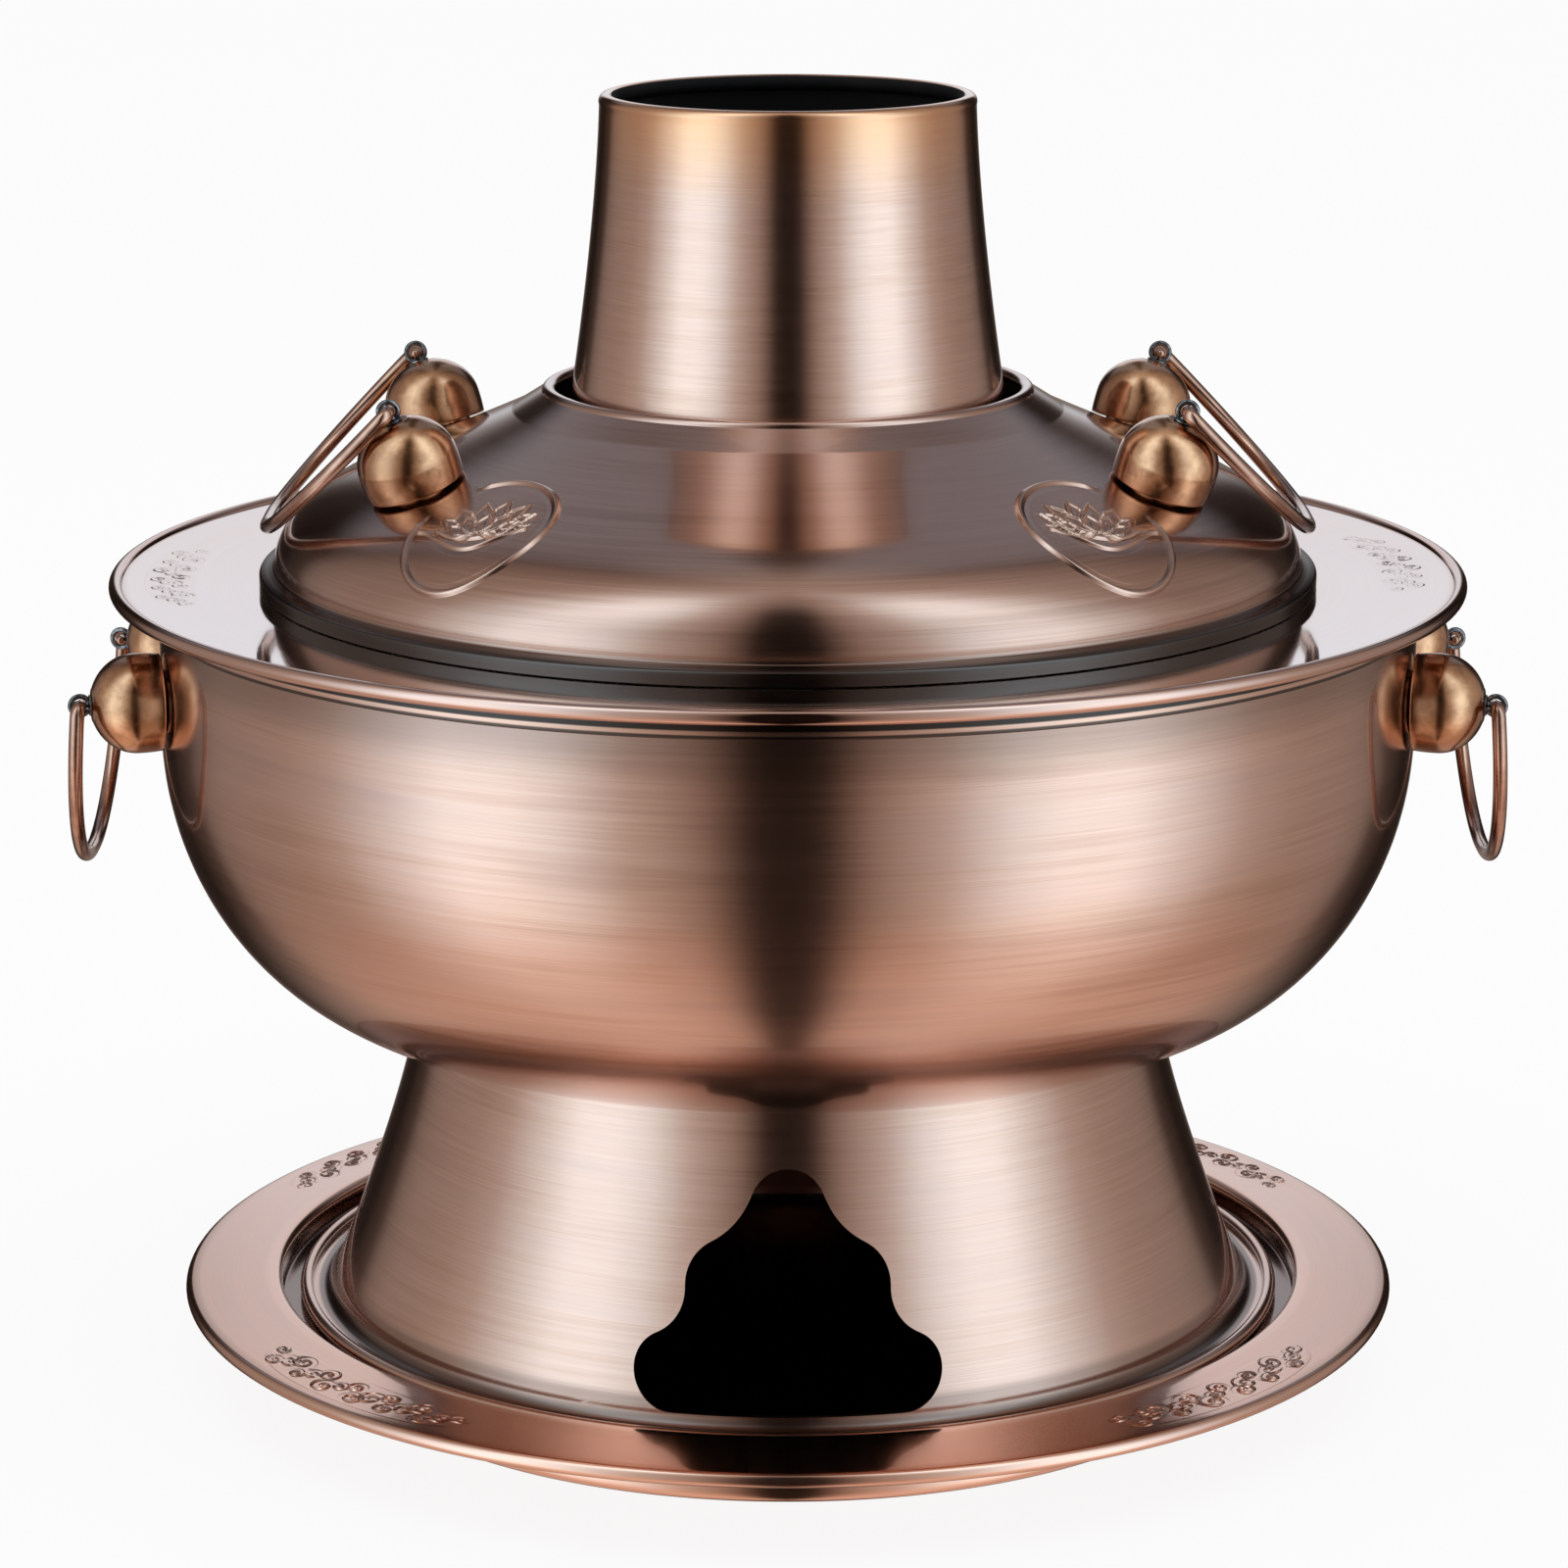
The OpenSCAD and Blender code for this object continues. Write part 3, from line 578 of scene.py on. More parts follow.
def vent_right_half():
    """From the sill's middle round the lobes and the hollows between them to the top."""
    hollow = hollow_between(LOW_LOBE, MID_LOBE, LOW_HOLLOW)
    neck = hollow_between(MID_LOBE, TOP_LOBE, HIGH_HOLLOW)

    def bearing(a, b):
        return math.degrees(math.atan2(b[1] - a[1], b[0] - a[0])) % 360

    def part(circle, start, end, count):
        return arc(circle[:2], circle[2], circle[2], start, end, count)[1:]

    return np.vstack([
        np.stack([np.linspace(0, LOW_LOBE[0], 24), np.full(24, SILL)], 1),
        part(LOW_LOBE, -90, bearing(hollow, LOW_LOBE) - 180, 40),
        part(hollow, bearing(hollow, LOW_LOBE), bearing(hollow, MID_LOBE), 16),
        part(MID_LOBE, bearing(hollow, MID_LOBE) - 180, bearing(neck, MID_LOBE) - 180, 24),
        part(neck, bearing(neck, MID_LOBE), bearing(neck, TOP_LOBE), 14),
        part(TOP_LOBE, bearing(neck, TOP_LOBE) - 180, 90, 24)])


def vent_at(angles):
    """The opening's edge (x, h) at each angle seen from its middle."""
    right = vent_right_half()
    edge = np.vstack([right, right[-2:0:-1] * (-1, 1)]) - (0, VENT_MIDDLE)
    seen = np.unwrap(np.arctan2(edge[:, 1], edge[:, 0]))
    seen, far = np.concatenate([seen - 2 * np.pi, seen, seen + 2 * np.pi]), np.hypot(*edge.T)
    dense = np.linspace(seen[0], seen[-1], 60000)
    reach = np.interp(angles, dense, np.interp(dense, seen, np.tile(far, 3)))
    return np.stack([reach * np.cos(angles), VENT_MIDDLE + reach * np.sin(angles)], 1)


def joined_wall(outer, inner):
    """Triangles between two rings, each (point numbers, angles) in the order of their angles."""
    (out_k, out_a), (in_k, in_a) = outer, inner
    next_out, next_in = (np.append(a[1:], a[0] + 2 * np.pi) for a in (out_a, in_a))
    facing_in = in_k[np.searchsorted(next_in, next_out) % len(in_k)]
    facing_out = out_k[np.searchsorted(next_out, next_in, side="right") % len(out_k)]
    return np.vstack([np.stack([out_k, np.roll(out_k, -1), facing_in], 1),
                      np.stack([facing_out, np.roll(in_k, -1), in_k], 1)])


def foot_shell(around=256, steps=7):
    """Points, faces and materials of the spun foot with its air opening. On the outer and the
    inner side a block of the grid gives way to rings, edge + v^1.15 (block - edge), and triangles
    join the two edges through the sheet."""
    points, faces = spin(foot_loop, around)
    row, column = np.divmod(np.arange(len(faces)), around)
    # faces inside the sheet take the soot, with its painted shade
    sooty_shaded = (row >= foot_outside) & (row < len(foot_loop) - BEAD_POINTS - 1)
    first, last = (int(around * (270 + turn) / 360) for turn in (-BLOCK_ANGLE, BLOCK_ANGLE))
    keep = np.ones(len(faces), bool)
    all_points, ring_faces, ring_sooty_shaded, edges = [points], [], [], []
    total = len(points)
    line = np.arange(len(foot_loop))
    on_skirt = ((foot_loop[:, 1] > BLOCK_LOW) & (foot_loop[:, 1] < BLOCK_HIGH)
                & (foot_loop[:, 0] > 90))
    for inner in (False, True):
        rows = line[on_skirt & ((line >= foot_outside) == inner)]
        r0, r1 = rows.min(), rows.max()
        keep &= ~((row >= r0) & (row < r1) & (column >= first) & (column < last))
        columns, lines = np.arange(first, last + 1), np.arange(r0, r1 + 1)
        border = np.concatenate([r0 * around + columns[:-1], lines[:-1] * around + last,
                                 r1 * around + columns[:0:-1], lines[:0:-1] * around + first])
        block = points[border][:, [0, 2]] - (0, FOOT_Z)
        edge = vent_at(np.arctan2(block[:, 1] - VENT_MIDDLE, block[:, 0]))
        v = (np.arange(steps) / steps)[:, None, None] ** 1.15
        x, z = np.moveaxis(edge + v * (block - edge) + (0, FOOT_Z), -1, 0)
        profile = foot_loop[r0:r1 + 1]
        profile = profile[np.argsort(profile[:, 1])]
        r = np.interp(z, profile[:, 1], profile[:, 0])
        all_points.append(np.stack([x, -np.sqrt(r ** 2 - x ** 2), z], -1).reshape(-1, 3))
        index = np.vstack([np.arange(x.size).reshape(x.shape) + total, border[None]])
        total += x.size
        a, b = index[:-1], index[1:]
        ring = np.stack([a, b, np.roll(b, -1, 1), np.roll(a, -1, 1)], -1)
        ring_faces.append(ring.reshape(-1, 4))
        ring_sooty_shaded.append(np.full(x.size, inner))
        angle = np.arctan2(edge[:, 1] - VENT_MIDDLE, edge[:, 0]) % (2 * np.pi)
        order = np.argsort(angle)
        edges.append((index[0][order], angle[order]))
    wall = joined_wall(*edges)
    whole = faces[keep].tolist() + np.vstack(ring_faces).tolist() + wall.tolist()
    return (np.vstack(all_points), whole,
            np.concatenate([sooty_shaded[keep], *ring_sooty_shaded, np.zeros(len(wall), bool)]))


foot_points, foot_faces, foot_sooty_shaded = foot_shell()
foot = new_object("foot_spun", foot_points, foot_faces, [copper_foot, soot_and_shade_black], foot_sooty_shaded)
mend(foot.data, drop_loose_and_face_out)
give_place(foot, "pot", "antique_copper", "foot")


# -------------------- bowl, brim and flue

BOWL_R, FLUE_H = 158.0, 228.0

# the floor's hole, the rounded underside as a quarter of an ellipse, and the upright wall
bowl_face = np.vstack([[(84.2, 0)], arc((95, 75), 63, 75, -90, 0, 84), [(BOWL_R, 108.5)]])
bowl_loop, bowl_outside = sheet_loop(closer(bowl_face + (0, BOWL_Z)))
piece("bowl_spun", [spin(bowl_loop)], [copper_bowl, tin], "pot", "antique_copper", "bowl",
      inner_faces(len(bowl_loop), bowl_outside))

# the neck, the level seat of the lid and the rim that rises to its bead; the hem lies outside
brim_face = closer(rounded([(128.5, 193.2), (128.5, 202.2), (134.7, 202.2), (168.2, 204.2)],
                           [2.0, 0], 8))
brim_loop, _ = sheet_loop(brim_face, last=(168.2, 204.95, ROLL))
hem_loop = rounded([(158.1, 200), (158.1, 197.7), (159.6, 197.7), (159.6, 203.2), (158.1, 203.2),
                    (158.1, 200.1)], [0.5, 0.5, 0.2, 0.2], 4)
piece("brim_spun", [spin(brim_loop), spin(hem_loop)], [copper_brim, copper_hem], "pot",
      "antique_copper", "brim", inner_faces(len(brim_loop) + len(hem_loop), len(brim_loop)))


def flue_radius(h):
    """46.6 + 41.4 ((230 - h) / 230) ^ 1.5: the flue's inward curve."""
    return 46.6 + 41.4 * ((230 - h) / 230) ** 1.5


flue_h = np.linspace(2.7, FLUE_H, 96)[1:]
flue_base = rounded([(93.9, SHEET), (88.0, SHEET), (flue_radius(5.0), 5.0)], [1.4])[1:-1]
flue_face = np.vstack([[(94, SHEET)], flue_base, np.stack([flue_radius(flue_h), flue_h], 1)])
flue_loop, flue_outside = sheet_loop(closer(flue_face + (0, FLOOR_Z), 2.6),
                                     last=(44.8, FLUE_H + FLOOR_Z, 2.0))
# the soot and its painted shade begin on the top of the lip's bead
piece("flue_spun", [spin(flue_loop)], [copper_flue, soot_and_shade_black], "pot", "antique_copper", "flue",
      inner_faces(len(flue_loop), flue_outside - BEAD_POINTS // 2 - 1))


# -------------------- lid

BAND_R, BAND_H, DOME_H = 128.8, 5.2, 30.0     # where the shoulder starts, and its ellipse's height
SLOPE_R, COLLAR_R, SLOPE_H = 104.0, 68.98, 28.4
SWING = math.degrees(math.asin((SLOPE_H - BAND_H) / DOME_H))
SHOULDER = (BAND_R - SLOPE_R) / (1 - math.cos(math.radians(SWING)))
slope_r = np.linspace(SLOPE_R, COLLAR_R, 17)
slope_t = (SLOPE_R - slope_r) / (SLOPE_R - COLLAR_R)
slope_z = SLOPE_H + slope_t * 14.4 - 1.6 * slope_t * (1 - slope_t)
# the base band, the shoulder, the slightly hollow slope and the collar
lid_face = np.vstack([
    rounded([(132.7, 0), (132.7, 3.2), (128.9, 4.4), (BAND_R, BAND_H)], [0.9, 0.8], 5)[:-1],
    arc((BAND_R - SHOULDER, BAND_H), SHOULDER, DOME_H, 0, SWING, 40),
    np.stack([slope_r, slope_z], 1)[1:-1],
    rounded([(slope_r[-2], slope_z[-2]), (COLLAR_R, 42.8), (60.98, 47.8)], [5.0], 6)[1:]])
lid_loop, lid_outside = sheet_loop(closer(lid_face, 2.2) + (0, LID_Z),
                                   last=(59.78, 47.2 + LID_Z, ROLL))
piece("lid_spun", [spin(lid_loop)], [copper_lid, tin], "lid", "antique_copper", "lid",
      inner_faces(len(lid_loop), lid_outside))


# -------------------- raised ornament

# the lotus's leaves from the back to the front: offset, lean in degrees, length and width
LOTUS = [(0.0, 80, 12.8, 2.9), (0.0, -80, 12.8, 2.9), (0.6, 57, 14.2, 3.2), (-0.6, -57, 14.2, 3.2),
         (0.8, 34, 15.0, 3.4), (-0.8, -34, 15.0, 3.4), (0.0, 11, 15.4, 3.3), (0.0, -12, 15.4, 3.3),
         (1.6, 62, 9.0, 2.4), (-1.6, -62, 9.0, 2.4), (1.2, 31, 9.8, 2.6), (-1.2, -31, 9.8, 2.6),
         (0.0, 0, 8.8, 2.6)]
OVAL = (18.6, 22.0)          # half width and half length of the wire round the lotus
MARGIN = 3.2                 # sheet outside the wire
# nineteen curls side by side: place along and across, size, and hand
CURLS = [(-34.2 + 3.8 * k, (2.5, -2.4, 0.2)[k % 3], 1.65 + 0.25 * ((k * 5) % 4), 1 - 2 * (k % 2))
         for k in range(19)]


def ridge(distance, width):
    """exp(-(distance / width)^2): a soft round ridge along distance 0."""
    return np.exp(-(distance / width) ** 2)


def petal(p, q, base, lean, length, width):
    """A leaf from base, leaning from upright by lean degrees: half width = width sin(pi t^0.75) at
    t of its length. Gives (how far outside its edge, t)."""
    c, s = math.cos(math.radians(lean)), math.sin(math.radians(lean))
    across = (p - base[0]) * c - (q - base[1]) * s
    along = (p - base[0]) * s + (q - base[1]) * c
    t = np.clip(along / length, 0, 1)
    beyond = np.maximum(np.maximum(-along, along - length), 0)
    half = width * np.sin(np.pi * t ** 0.75)
    return np.where(beyond > 0, np.hypot(np.abs(across), beyond), np.abs(across) - half), t


def lotus_height(p, q):
    """Height in mm of the lotus and its oval wire over the lid at (p across, q up): leaves laid
    over one another from the back to the front, each with a raised edge and a vein, then two long
    leaves below, q = low + rise (1 - cos(pi t)) / 2 with t = |p - 1| / reach, and the wire."""
    height = np.zeros_like(p)
    for x, lean, length, width in LOTUS:
        out, t = petal(p, q, (1.4 + x, -2.4), lean, length, width)
        leaf = 0.14 + 0.52 * ridge(out + 0.5, 0.5) + 0.22 * ridge(out + width, 0.5) * (t < 0.85)
        height = np.where(out < 0, leaf, height - 0.42 * ridge(out, 0.55) * (height > -0.1))
    reach = np.where(p < 1, 18.0, 12.6)
    t = np.minimum(np.abs(p - 1) / reach, 1)
    for low, left, right in ((-4.2, 5.4, 2.6), (-8.2, 8.6, 5.6)):
        rise = np.where(p < 1, left, right)
        curve = low + rise * (1 - np.cos(np.pi * t)) / 2
        lean = rise * np.pi * np.sin(np.pi * t) / (2 * reach)
        far = (q - curve) / np.sqrt(1 + lean ** 2)
        height += (0.62 * ridge(far, 0.62) - 0.26 * ridge(np.abs(far) - 1.4, 0.6)) * (t < 0.99)
    size = np.hypot(p / OVAL[0], q / OVAL[1])
    slope = np.hypot(p / OVAL[0] ** 2, q / OVAL[1] ** 2) / np.maximum(size, 1e-6)
    wire = (size - 1) / np.maximum(slope, 1e-6)
    # the wire sinks away beside the ball's base
    turn = np.degrees(np.arctan2(q / OVAL[1], p / OVAL[0])) % 360
    shown = 1 - np.clip((turn - 106) / 12, 0, 1) * np.clip((170 - turn) / 12, 0, 1)
    return height + (0.72 * ridge(wire, 0.78) - 0.24 * ridge(np.abs(wire) - 1.6, 0.55)) * shown


def cloud_band(lift, width):
    """Height in mm of a band of cloud scrolls: for each curl the ridges of a spiral, radius =
    size (turn / 2 pi), one and a half turns, on a sunk ground."""
    def height_at(p, q):
        height, ground = np.zeros_like(p), np.zeros_like(p)
        for x, y, size, hand in CURLS:
            far = np.hypot(p - x, (q - y) * 1.15) + 1e-6
            turn = (np.arctan2(q - y, (p - x) * hand) + 2.2) % (2 * np.pi) / (2 * np.pi)
            coil = (far / size - turn) * size
            arm = np.minimum(np.abs(coil), np.minimum(np.abs(coil - size), np.abs(coil + size)))
            within = np.clip((1.7 * size - far) / (0.4 * size), 0, 1)
            ground = np.maximum(ground, within)
            height = np.maximum(height, ridge(arm, width) * within)
        return (height * 1.35 - ground * 0.35) * lift

    return height_at


def oval(half_width, half_length, power=2.0):
    """|p / half width|^power + |q / half length|^power = 1."""
    def outline(w):
        c, s = np.cos(w), np.sin(w)
        return (half_width * np.sign(c) * np.abs(c) ** (2 / power),
                half_length * np.sign(s) * np.abs(s) ** (2 / power))

    return outline


def on_profile(profile, way, azimuth, tilt=0):
    """Places (p across, q along the profile) on a spun face: the height way along the profile gives
    radius and z, the angle is azimuth + p / radius, and the pattern is turned by tilt degrees."""
    length = np.concatenate([[0], np.cumsum(np.hypot(*np.diff(profile, axis=0).T))])
    c, s = math.cos(math.radians(tilt)), math.sin(math.radians(tilt))

    def where(p, q):
        p, q = p * c - q * s, p * s + q * c
        (r, z), after, before = ([np.interp(way + q + step, length, part) for part in profile.T]
                                 for step in (0, 0.6, -0.6))
        dr, dz = np.subtract(after, before)
        size = np.hypot(dr, dz)
        nr, nz = dz / size, -dr / size
        a = math.radians(azimuth) + p / r
        return (np.stack([r * np.sin(a), -r * np.cos(a), z], 1),
                np.stack([nr * np.sin(a), -nr * np.cos(a), nz], 1))

    return where


def disc_faces(start, rings, around):
    """A fan round the middle point start, then quads from each ring of points to the next."""
    index = start + 1 + np.arange(rings * around).reshape(rings, around)
    on = np.roll(index, -1, 1)
    fan = np.stack([np.full(around, start), index[0], on[0]], -1)
    return index, on, fan, np.stack([index[:-1], index[1:], on[1:], on[:-1]], -1).reshape(-1, 4)


def raised_patch(name, where, height, outline, material, body, steps, around, fall):
    """A patch of sheet with raised work on it: the grid is v (outline at angle w), v 0..1 from the
    middle out, lifted along the surface's normal by height and sunk into the sheet from v = fall
    to its rim. Its underside, inside the sheet, takes every eighth ring."""
    w = np.arange(around) * 2 * np.pi / around
    v = np.linspace(0, 1, steps + 1)[1:, None]
    p, q = (np.concatenate([[0.0], (v * part).ravel()]) for part in outline(w))
    ring_v = np.concatenate([[0.0], np.repeat(v[:, 0], around)])
    sunk = np.clip((ring_v - fall) / (1 - fall), 0, 1) ** 2
    lift = height(p, q) * (1 - sunk)
    points, normal = where(p, q)
    top = points + normal * (0.03 - 0.1 * sunk + lift)[:, None]
    index, on, fan, grid = disc_faces(0, steps, around)
    kept = np.concatenate([[0], index[7::8].ravel()])
    below, below_on, below_fan, below_grid = disc_faces(len(top), steps // 8, around)
    skirt = np.stack([index[-1], below[-1], below_on[-1], on[-1]], -1)
    faces = [fan, grid, below_fan[:, ::-1], below_grid[:, ::-1], skirt]
    made = new_object(name, np.vstack([top, points[kept] - normal[kept] * 0.7]),
                      [face for part in faces for face in part.tolist()], [material])
    # the lift goes to the material, which paints highlight on raised tops and shade in hollows
    mark = made.data.attributes.new("relief", "FLOAT", "POINT")
    shown = np.concatenate([np.clip(0.5 + lift * 0.9, 0, 1), np.full(len(kept), 0.5)])
    mark.data.foreach_set("value", shown)
    give_place(made, body, "antique_copper")


on_dome = (lid_face[:, 0] > 69) & (lid_face[:, 0] < 129.5) & (lid_face[:, 1] > 4)
lid_rise = lid_face[on_dome] + (0, LID_Z)
tray_rise = np.array([(153.6, 22.62), (133.5, 23.74)])
brim_rise = np.array([(167.6, 205.66), (136.0, 203.78)])
lotus_outline = oval(OVAL[0] + MARGIN, OVAL[1] + MARGIN)
cloud_outline = oval(39.5, 6.9, 2.8)

# azimuths are measured from the front, towards the right
for side, hand, brim_azimuth in ((-1, "left", -87.0), (1, "right", 94.0)):
    for front, face, lotus_azimuth, cloud_azimuth in ((1, "front", 42.7, 46.5),
                                                      (-1, "back", 137.3, 128.0)):
        # p runs anticlockwise seen from above, so two of the four patterns are mirror images
        sense = -side * front
        raised_patch(f"lotus_{face}_{hand}",
                     on_profile(lid_rise, 32.3, side * lotus_azimuth, 22 * sense),
                     lambda p, q: lotus_height(p * sense, q), lotus_outline, relief_lid, "lid",
                     steps=112, around=440, fall=0.93)
        raised_patch(f"tray_cloud_{face}_{hand}", on_profile(tray_rise, 7.6, side * cloud_azimuth),
                     cloud_band(0.36, 0.36), cloud_outline, relief_flat, "tray",
                     steps=48, around=720, fall=0.86)
    raised_patch(f"brim_cloud_{hand}", on_profile(brim_rise, 12.8, brim_azimuth),
                 cloud_band(0.16, 0.55), cloud_outline, relief_brim, "pot",
                 steps=48, around=720, fall=0.86)


# -------------------- balls, eyes and bails

BALL_R, BALL_STEP, BALL_TOP, TIP_R, BORE_R = 12.4, 0.6, 17.8, 4.4, 1.7
PIN_R, WIRE_R, ELBOW, TAPER = 1.1, 1.8, 2.6, 0.9


def ball_shell():
    """Acorn-shaped ball spun about Z: round above and below its waist, flat at base and tip."""
    waist = BALL_STEP + 17.2 * 0.36
    low = 4 * (waist - BALL_STEP)
    base = -math.degrees(math.asin((waist - BALL_STEP) / low))
    tip = math.degrees(math.acos(TIP_R / BALL_R))
    crown = (17.5 - waist) / math.sin(math.radians(tip))
    side = np.vstack([arc((0, waist), BALL_R, low, base, 0, 12),
                      arc((0, waist), BALL_R, crown, 0, tip, 30)[1:]])
    profile = np.vstack([
        [(BORE_R, 0.0)], rounded([(6, 0.0), (8.0, 0.0), (8.0, BALL_STEP)], [0.2], 3)[1:],
        rounded([(9.0, BALL_STEP), side[0], side[2]], [0.5], 5)[:-1], side[2:],
        rounded([side[-1], (3.9, BALL_TOP), (BORE_R, BALL_TOP)], [0.8], 5)[1:]])
    return spin(profile, 72)


def eye_shells(turn):
    """Eye bolt about Z: the shank with its collar and neck, and a ring turned about Z."""
    stem = rounded([(0, -6.15), (1.6, -6.15), (1.6, 17.9), (2.6, 17.9), (2.6, 18.35), (1.5, 18.7),
                    (1.2, 19.2), (0, 19.4)], [0.3, 0.0, 0.15, 0.2, 0.4, 0.3], 4)
    ring_points, ring_faces = spin(arc((2.35, 0), 0.65, 0.65, 0, 360, 24)[:-1], 48)
    ring_points = turned(turned(ring_points, 0, 90) + (0, 0, EYE_REACH), 2, turn)
    return [spin(stem, 36, closed=False), (ring_points, ring_faces)]


def bail_shell(half_span, drop):
    """Round wire in the YZ plane: pin, elbow, half circle, elbow, pin, hung from Y through 0."""
    leg, start, bend = half_span + 4.8, half_span - 2.2, drop - ELBOW
    thick = leg - ELBOW - TAPER          # where the pin begins to thicken into the wire
    y = np.concatenate([np.linspace(start, thick, 12, endpoint=False),
                        np.linspace(thick, leg - ELBOW, 7)])
    half = np.vstack([np.stack([y, 0 * y], 1),
                      arc((leg - ELBOW, -ELBOW), ELBOW, ELBOW, 90, 0, 12)[1:],
                      arc((leg - bend, -ELBOW), bend, bend, 0, -90, 72)[1:]])
    size = np.full(len(half), WIRE_R)
    size[:len(y)] = PIN_R + (WIRE_R - PIN_R) * np.clip((y - thick) / TAPER, 0, 1)
    tip = np.radians(np.linspace(0, 90, 7)[:-1])
    half = np.vstack([np.stack([start - PIN_R * np.cos(tip), 0 * tip], 1), half])
    size = np.concatenate([np.maximum(PIN_R * np.sin(tip), 1e-5), size])
    y, z = np.vstack([half, half[-2::-1] * (-1, 1)]).T
    return tube(np.stack([0 * y, y, z], 1), np.concatenate([size, size[-2::-1]]), (1.0, 0.0, 0.0))


def make_handles(kind, ear, body, lean, drop):
    """Four balls and eyes and two bails of the bowl or the lid."""
    seat_r, seat_z, tilt, off = ear
    rise, spread = math.radians(tilt), math.radians(off)
    reach_r = seat_r + EYE_REACH * math.sin(rise)
    pivot_z = seat_z + EYE_REACH * math.cos(rise)
    for side, hand in ((-1, "left"), (1, "right")):
        for end, face in ((-1, "front"), (1, "back")):
            azimuth = end * off if side > 0 else 180 - end * off
            points, faces = ball_shell()
            piece(f"{kind}_ball_{face}_{hand}_turned", [(at_ear(points, ear, azimuth), faces)],
                  [ball_copper], body, "warm_copper", f"{kind}_ball_{face}_{hand}")
            # the eye is turned until its hole lies on the bail's axis
            turn = -math.degrees(math.atan(math.cos(rise) * math.tan(side * end * spread)))
            shells = [(at_ear(points, ear, azimuth), faces) for points, faces in eye_shells(turn)]
            piece(f"{kind}_eye_{face}_{hand}_bolt", shells, [nickel], body, "dark_nickel",
                  f"{kind}_eye_{face}_{hand}")
        points, faces = bail_shell(reach_r * math.sin(spread), drop)
        hinge = (side * reach_r * math.cos(spread), 0, pivot_z)
        piece(f"{kind}_bail_{hand}_wire", [(turned(points, 1, -side * lean) + hinge, faces)],
              [bail_copper], f"{kind}_bail_{hand}", "bail_wire", f"{kind}_bail_{hand}")


make_handles("bowl", BOWL_EAR, "pot", lean=4.5, drop=46.2)
make_handles("lid", LID_EAR, "lid", lean=44.07, drop=48.6)

for node, material in (("grate", iron), ("lid_guide_ring", copper_flat), ("bowl_washers", nickel),
                       ("bowl_nuts", nickel), ("lid_washers", nickel), ("lid_nuts", nickel)):
    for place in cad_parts[node].material_slots:
        place.material = material


# -------------------- studio

FLOOR_HALF, TENT_R = 30000.0, 4000.0
FLOOR_DROP = 0.0004          # the floor lies this far below the tray, in metres
TENT_POWER = 3.0
TABLE_GLOW = (0.96, 0.72, 0.60)
BACK_WALL = (0.29, 0.32, 0.38)
BACK_PANEL = (0.84, 0.88, 0.95)

# a weak light is warm and a strong one cool: strengths and their tints
TINT_STRENGTHS = (0.0, 0.12, 0.6, 1.4)
TINTS = (1.0, 0.70, 0.58), (1.0, 0.78, 0.68), (1.0, 0.96, 0.92), (1.0, 1.32, 1.55)

# strength of the softboxes and dark flags by their angle from the front, to either side
ROUND_ABOUT = [(0, .012), (7, .02), (11, .22), (15, .43), (28, .82), (40, 1.42), (50, 1.78),
               (62, 1.78), (74, 1.2), (88, .70), (100, .53), (120, .42), (130, .30), (137, .07),
               (150, .015), (162, .03), (172, .22), (180, .3)]
# what it is multiplied by from straight down (0) to straight up (1): softer and warmer below,
# where only the table's light comes up
UP_AND_DOWN = [(0.0, (0.42, 0.30, 0.25)), (0.17, (0.60, 0.45, 0.38)), (0.28, (0.80, 0.64, 0.56)),
               (0.38, (0.90, 0.82, 0.78)), (0.50, (0.88,) * 3), (0.55, (0.90,) * 3),
               (0.62, (0.84,) * 3), (0.70, (0.80,) * 3), (0.88, (0.98,) * 3)]


def lit(colour):
    return tuple(float(c / TENT_POWER) for c in colour)


def tone(strength):
    """The light of this strength, tinted."""
    tint = [np.interp(strength, TINT_STRENGTHS, channel) for channel in zip(*TINTS)]
    return lit(strength * c for c in tint)


def floor_material():
    """Pale paper: most of its white is its own, so it stays white and keeps a soft shadow."""
    f = Finish("studio_floor")
    speck = f.noise(f.place(), 3.0, 2.0, 0.5)
    paper = f.mix(speck, (0.84, 0.84, 0.84), (0.87, 0.87, 0.87))
    paint = f.node("ShaderNodeBsdfDiffuse", {}, {"Color": paper})
    glow = f.node("ShaderNodeEmission", {}, {"Color": (1, 1, 1, 1), "Strength": 1.0})
    return f.end(f.node("ShaderNodeMixShader", {}, {0: f.seen() * 0.90, 1: paint, 2: glow}))


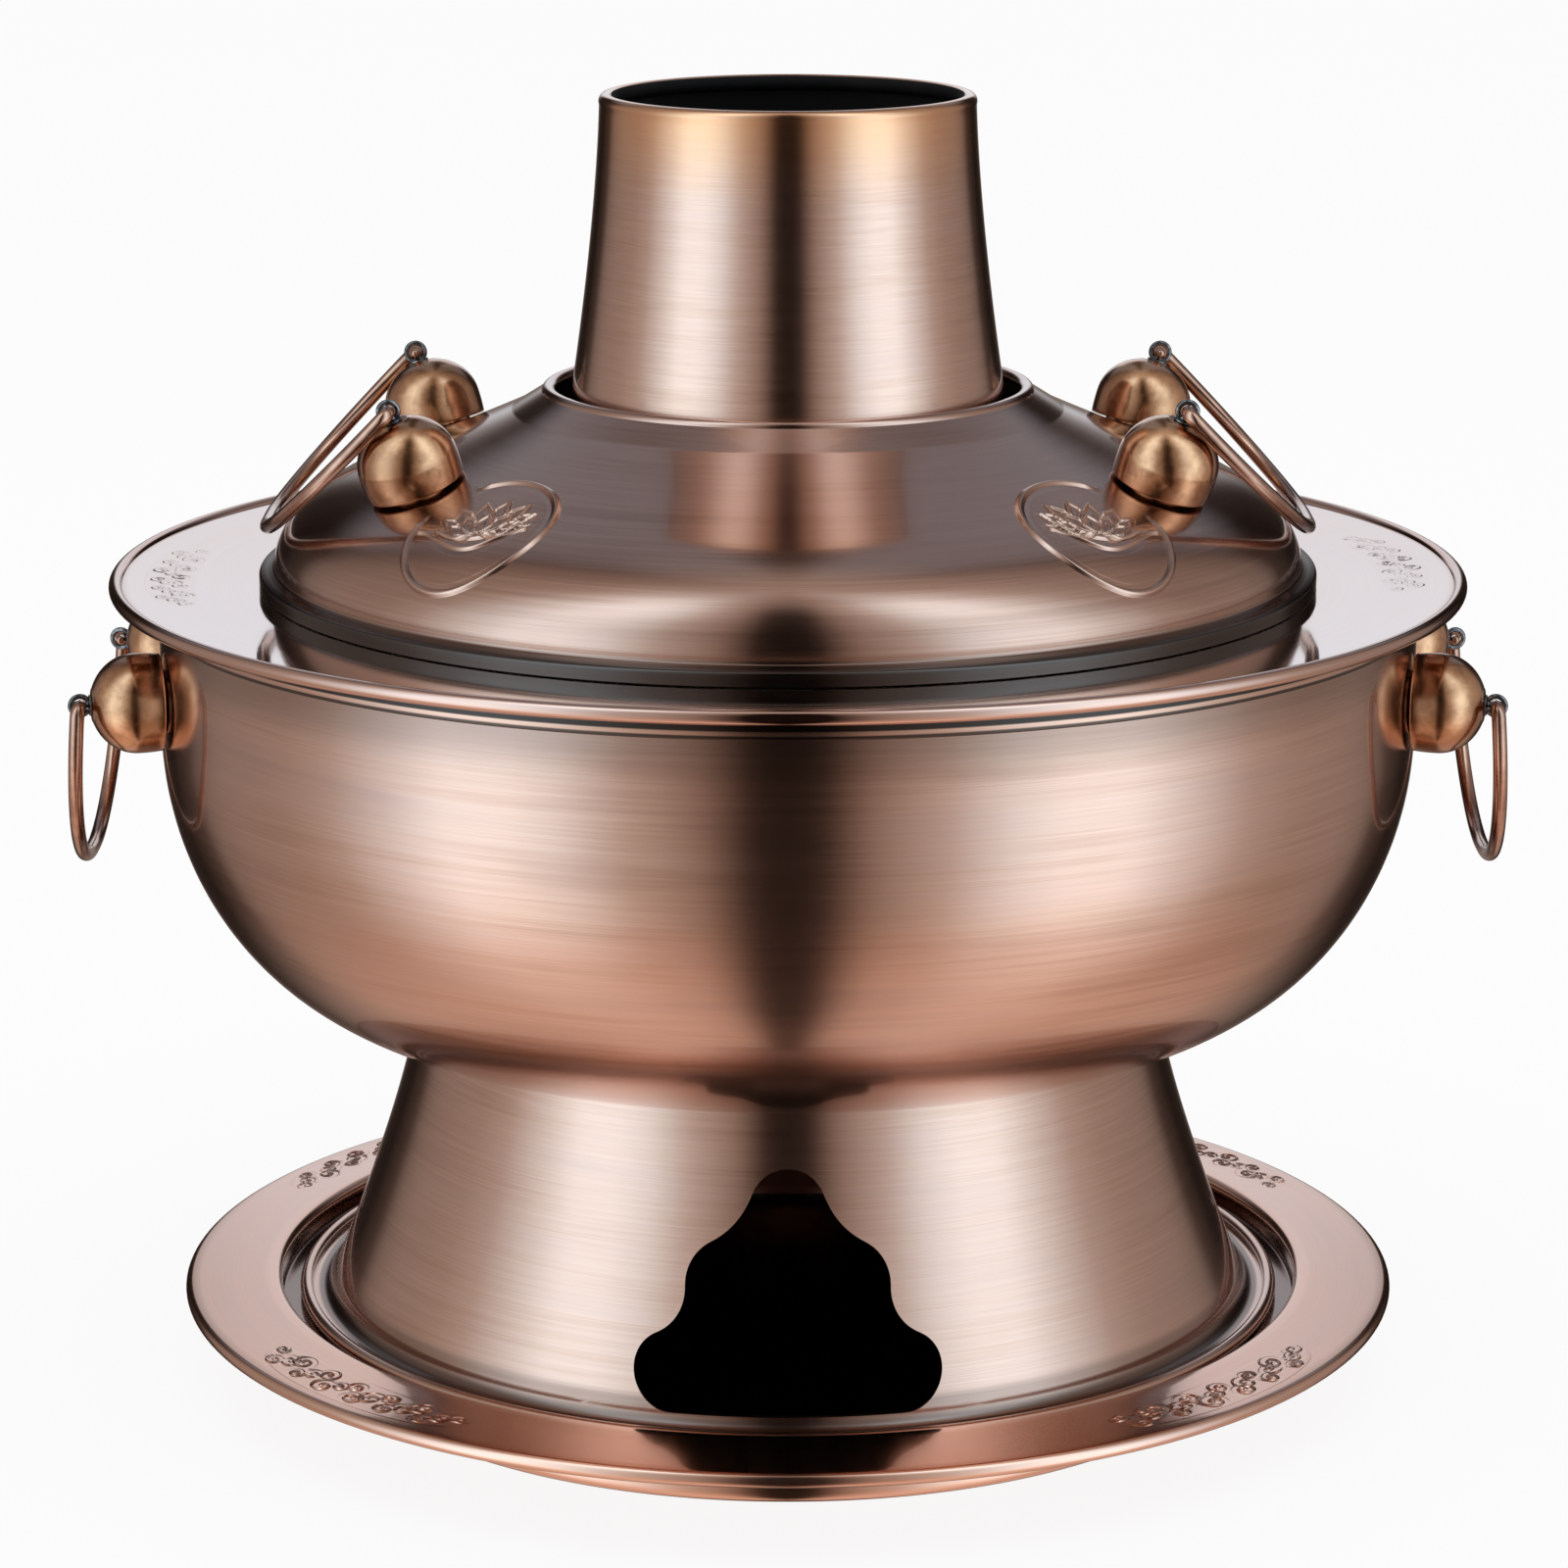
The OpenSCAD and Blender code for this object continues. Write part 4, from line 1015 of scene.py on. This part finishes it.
def tent_material():
    """Softboxes and dark flags that only the metal sees: brightness by direction, round from the
    front (0) to the back (1) on either side, and up in degrees from the pot's own height."""
    f = Finish("light_tent")
    x, y, z = f.parts(f.place())
    level = (x * x + y * y).function("SQRT")
    aside = x.function("ABSOLUTE")
    beside_it = aside / (level + 0.001)
    round_to = aside.function("ARCTAN2", 0 - y) * (1 / math.pi)
    up = z.function("ARCTAN2", level) * (180 / math.pi)
    stops = [(degrees / 180, tone(strength)) for degrees, strength in ROUND_ABOUT]
    round_tone = f.node("ShaderNodeValToRGB", {"stops": stops}, {0: round_to})
    above = f.node("ShaderNodeValToRGB", {"stops": UP_AND_DOWN}, {0: up * (1 / 180) + 0.5})
    colour = f.mix(1.0, round_tone, above, "MULTIPLY")
    # the back wall of the studio, seen over the pot, dark behind the flue
    high_back = f.mix(beside_it.between(0.03, 0.22), tone(0.06), lit(BACK_WALL))
    colour = f.mix(round_to.between(0.72, 0.82) * up.between(22.0, 36.0), colour, high_back)
    colour = f.mix(up.between(66.0, 86.0) * 0.85, colour, tone(0.62))
    # the table to the sides and behind
    table = (1 - up.between(-60.0, -21.0)) * beside_it.between(0.10, 0.40) * 0.75
    colour = f.mix(table, colour, lit(TABLE_GLOW))
    # a panel low behind the pot
    back = (y.between(1.6, 2.6) * up.between(2.0, 11.0) * (1 - up.between(28.0, 38.0))
            * (1 - aside.between(0.6, 1.1)))
    colour = f.mix(back, colour, lit(BACK_PANEL))
    return f.end(f.node("ShaderNodeEmission", {}, {"Color": colour, "Strength": TENT_POWER}))


floor_corners = np.array([(-1, -1, 0), (1, -1, 0), (1, 1, 0), (-1, 1, 0)]) * FLOOR_HALF
floor = new_object("studio_floor", floor_corners, [(0, 1, 2, 3)], [floor_material()])
floor.location.z = -FLOOR_DROP
floor.visible_glossy = False

tent_points, tent_faces = spin(arc((0, 0), TENT_R, TENT_R, -90, 90, 48), 96, closed=False)
tent = new_object("light_tent", tent_points, tent_faces[:, ::-1].tolist(), [tent_material()])
tent.data.materials[0].cycles.emission_sampling = "NONE"
tent.visible_camera = False
tent.visible_diffuse = False
tent.visible_shadow = False
tent.visible_transmission = False

air = Finish("studio_air", bpy.data.worlds)
air_light, air_seen = (air.node("ShaderNodeBackground", {}, {
    "Color": (1, 1, 1, 1), "Strength": strength}) for strength in (0.75, 1.0))
bpy.context.scene.world = air.end(
    air.node("ShaderNodeMixShader", {}, {0: air.seen(), 1: air_light, 2: air_seen}),
    "ShaderNodeOutputWorld")

lamp = bpy.data.lights.new("softbox_above", "AREA")
lamp.shape, lamp.size, lamp.energy = "SQUARE", 2.4, 16.0
softbox = bpy.data.objects.new("softbox_above", lamp)
bpy.context.scene.collection.objects.link(softbox)
softbox.location = (0.2, -0.5, 2.2)
to_pot = Vector((0, 0, 0.1)) - softbox.location
softbox.rotation_euler = to_pot.to_track_quat("-Z", "Y").to_euler()
softbox.visible_glossy = False

camera_data = bpy.data.cameras.new("camera")
camera = bpy.data.objects.new("camera", camera_data)
bpy.context.scene.collection.objects.link(camera)
camera.location = (0.0, -1.2713, 0.455244)
camera.rotation_euler = (math.pi / 2 - 0.235962, 0.0, 0.0)
camera_data.lens = 117.84
camera_data.sensor_width = 36.0
camera_data.shift_x = -0.0025
camera_data.clip_start = 0.05
camera_data.clip_end = 60.0
bpy.context.scene.camera = camera
bpy.context.scene.view_settings.view_transform = "Standard"
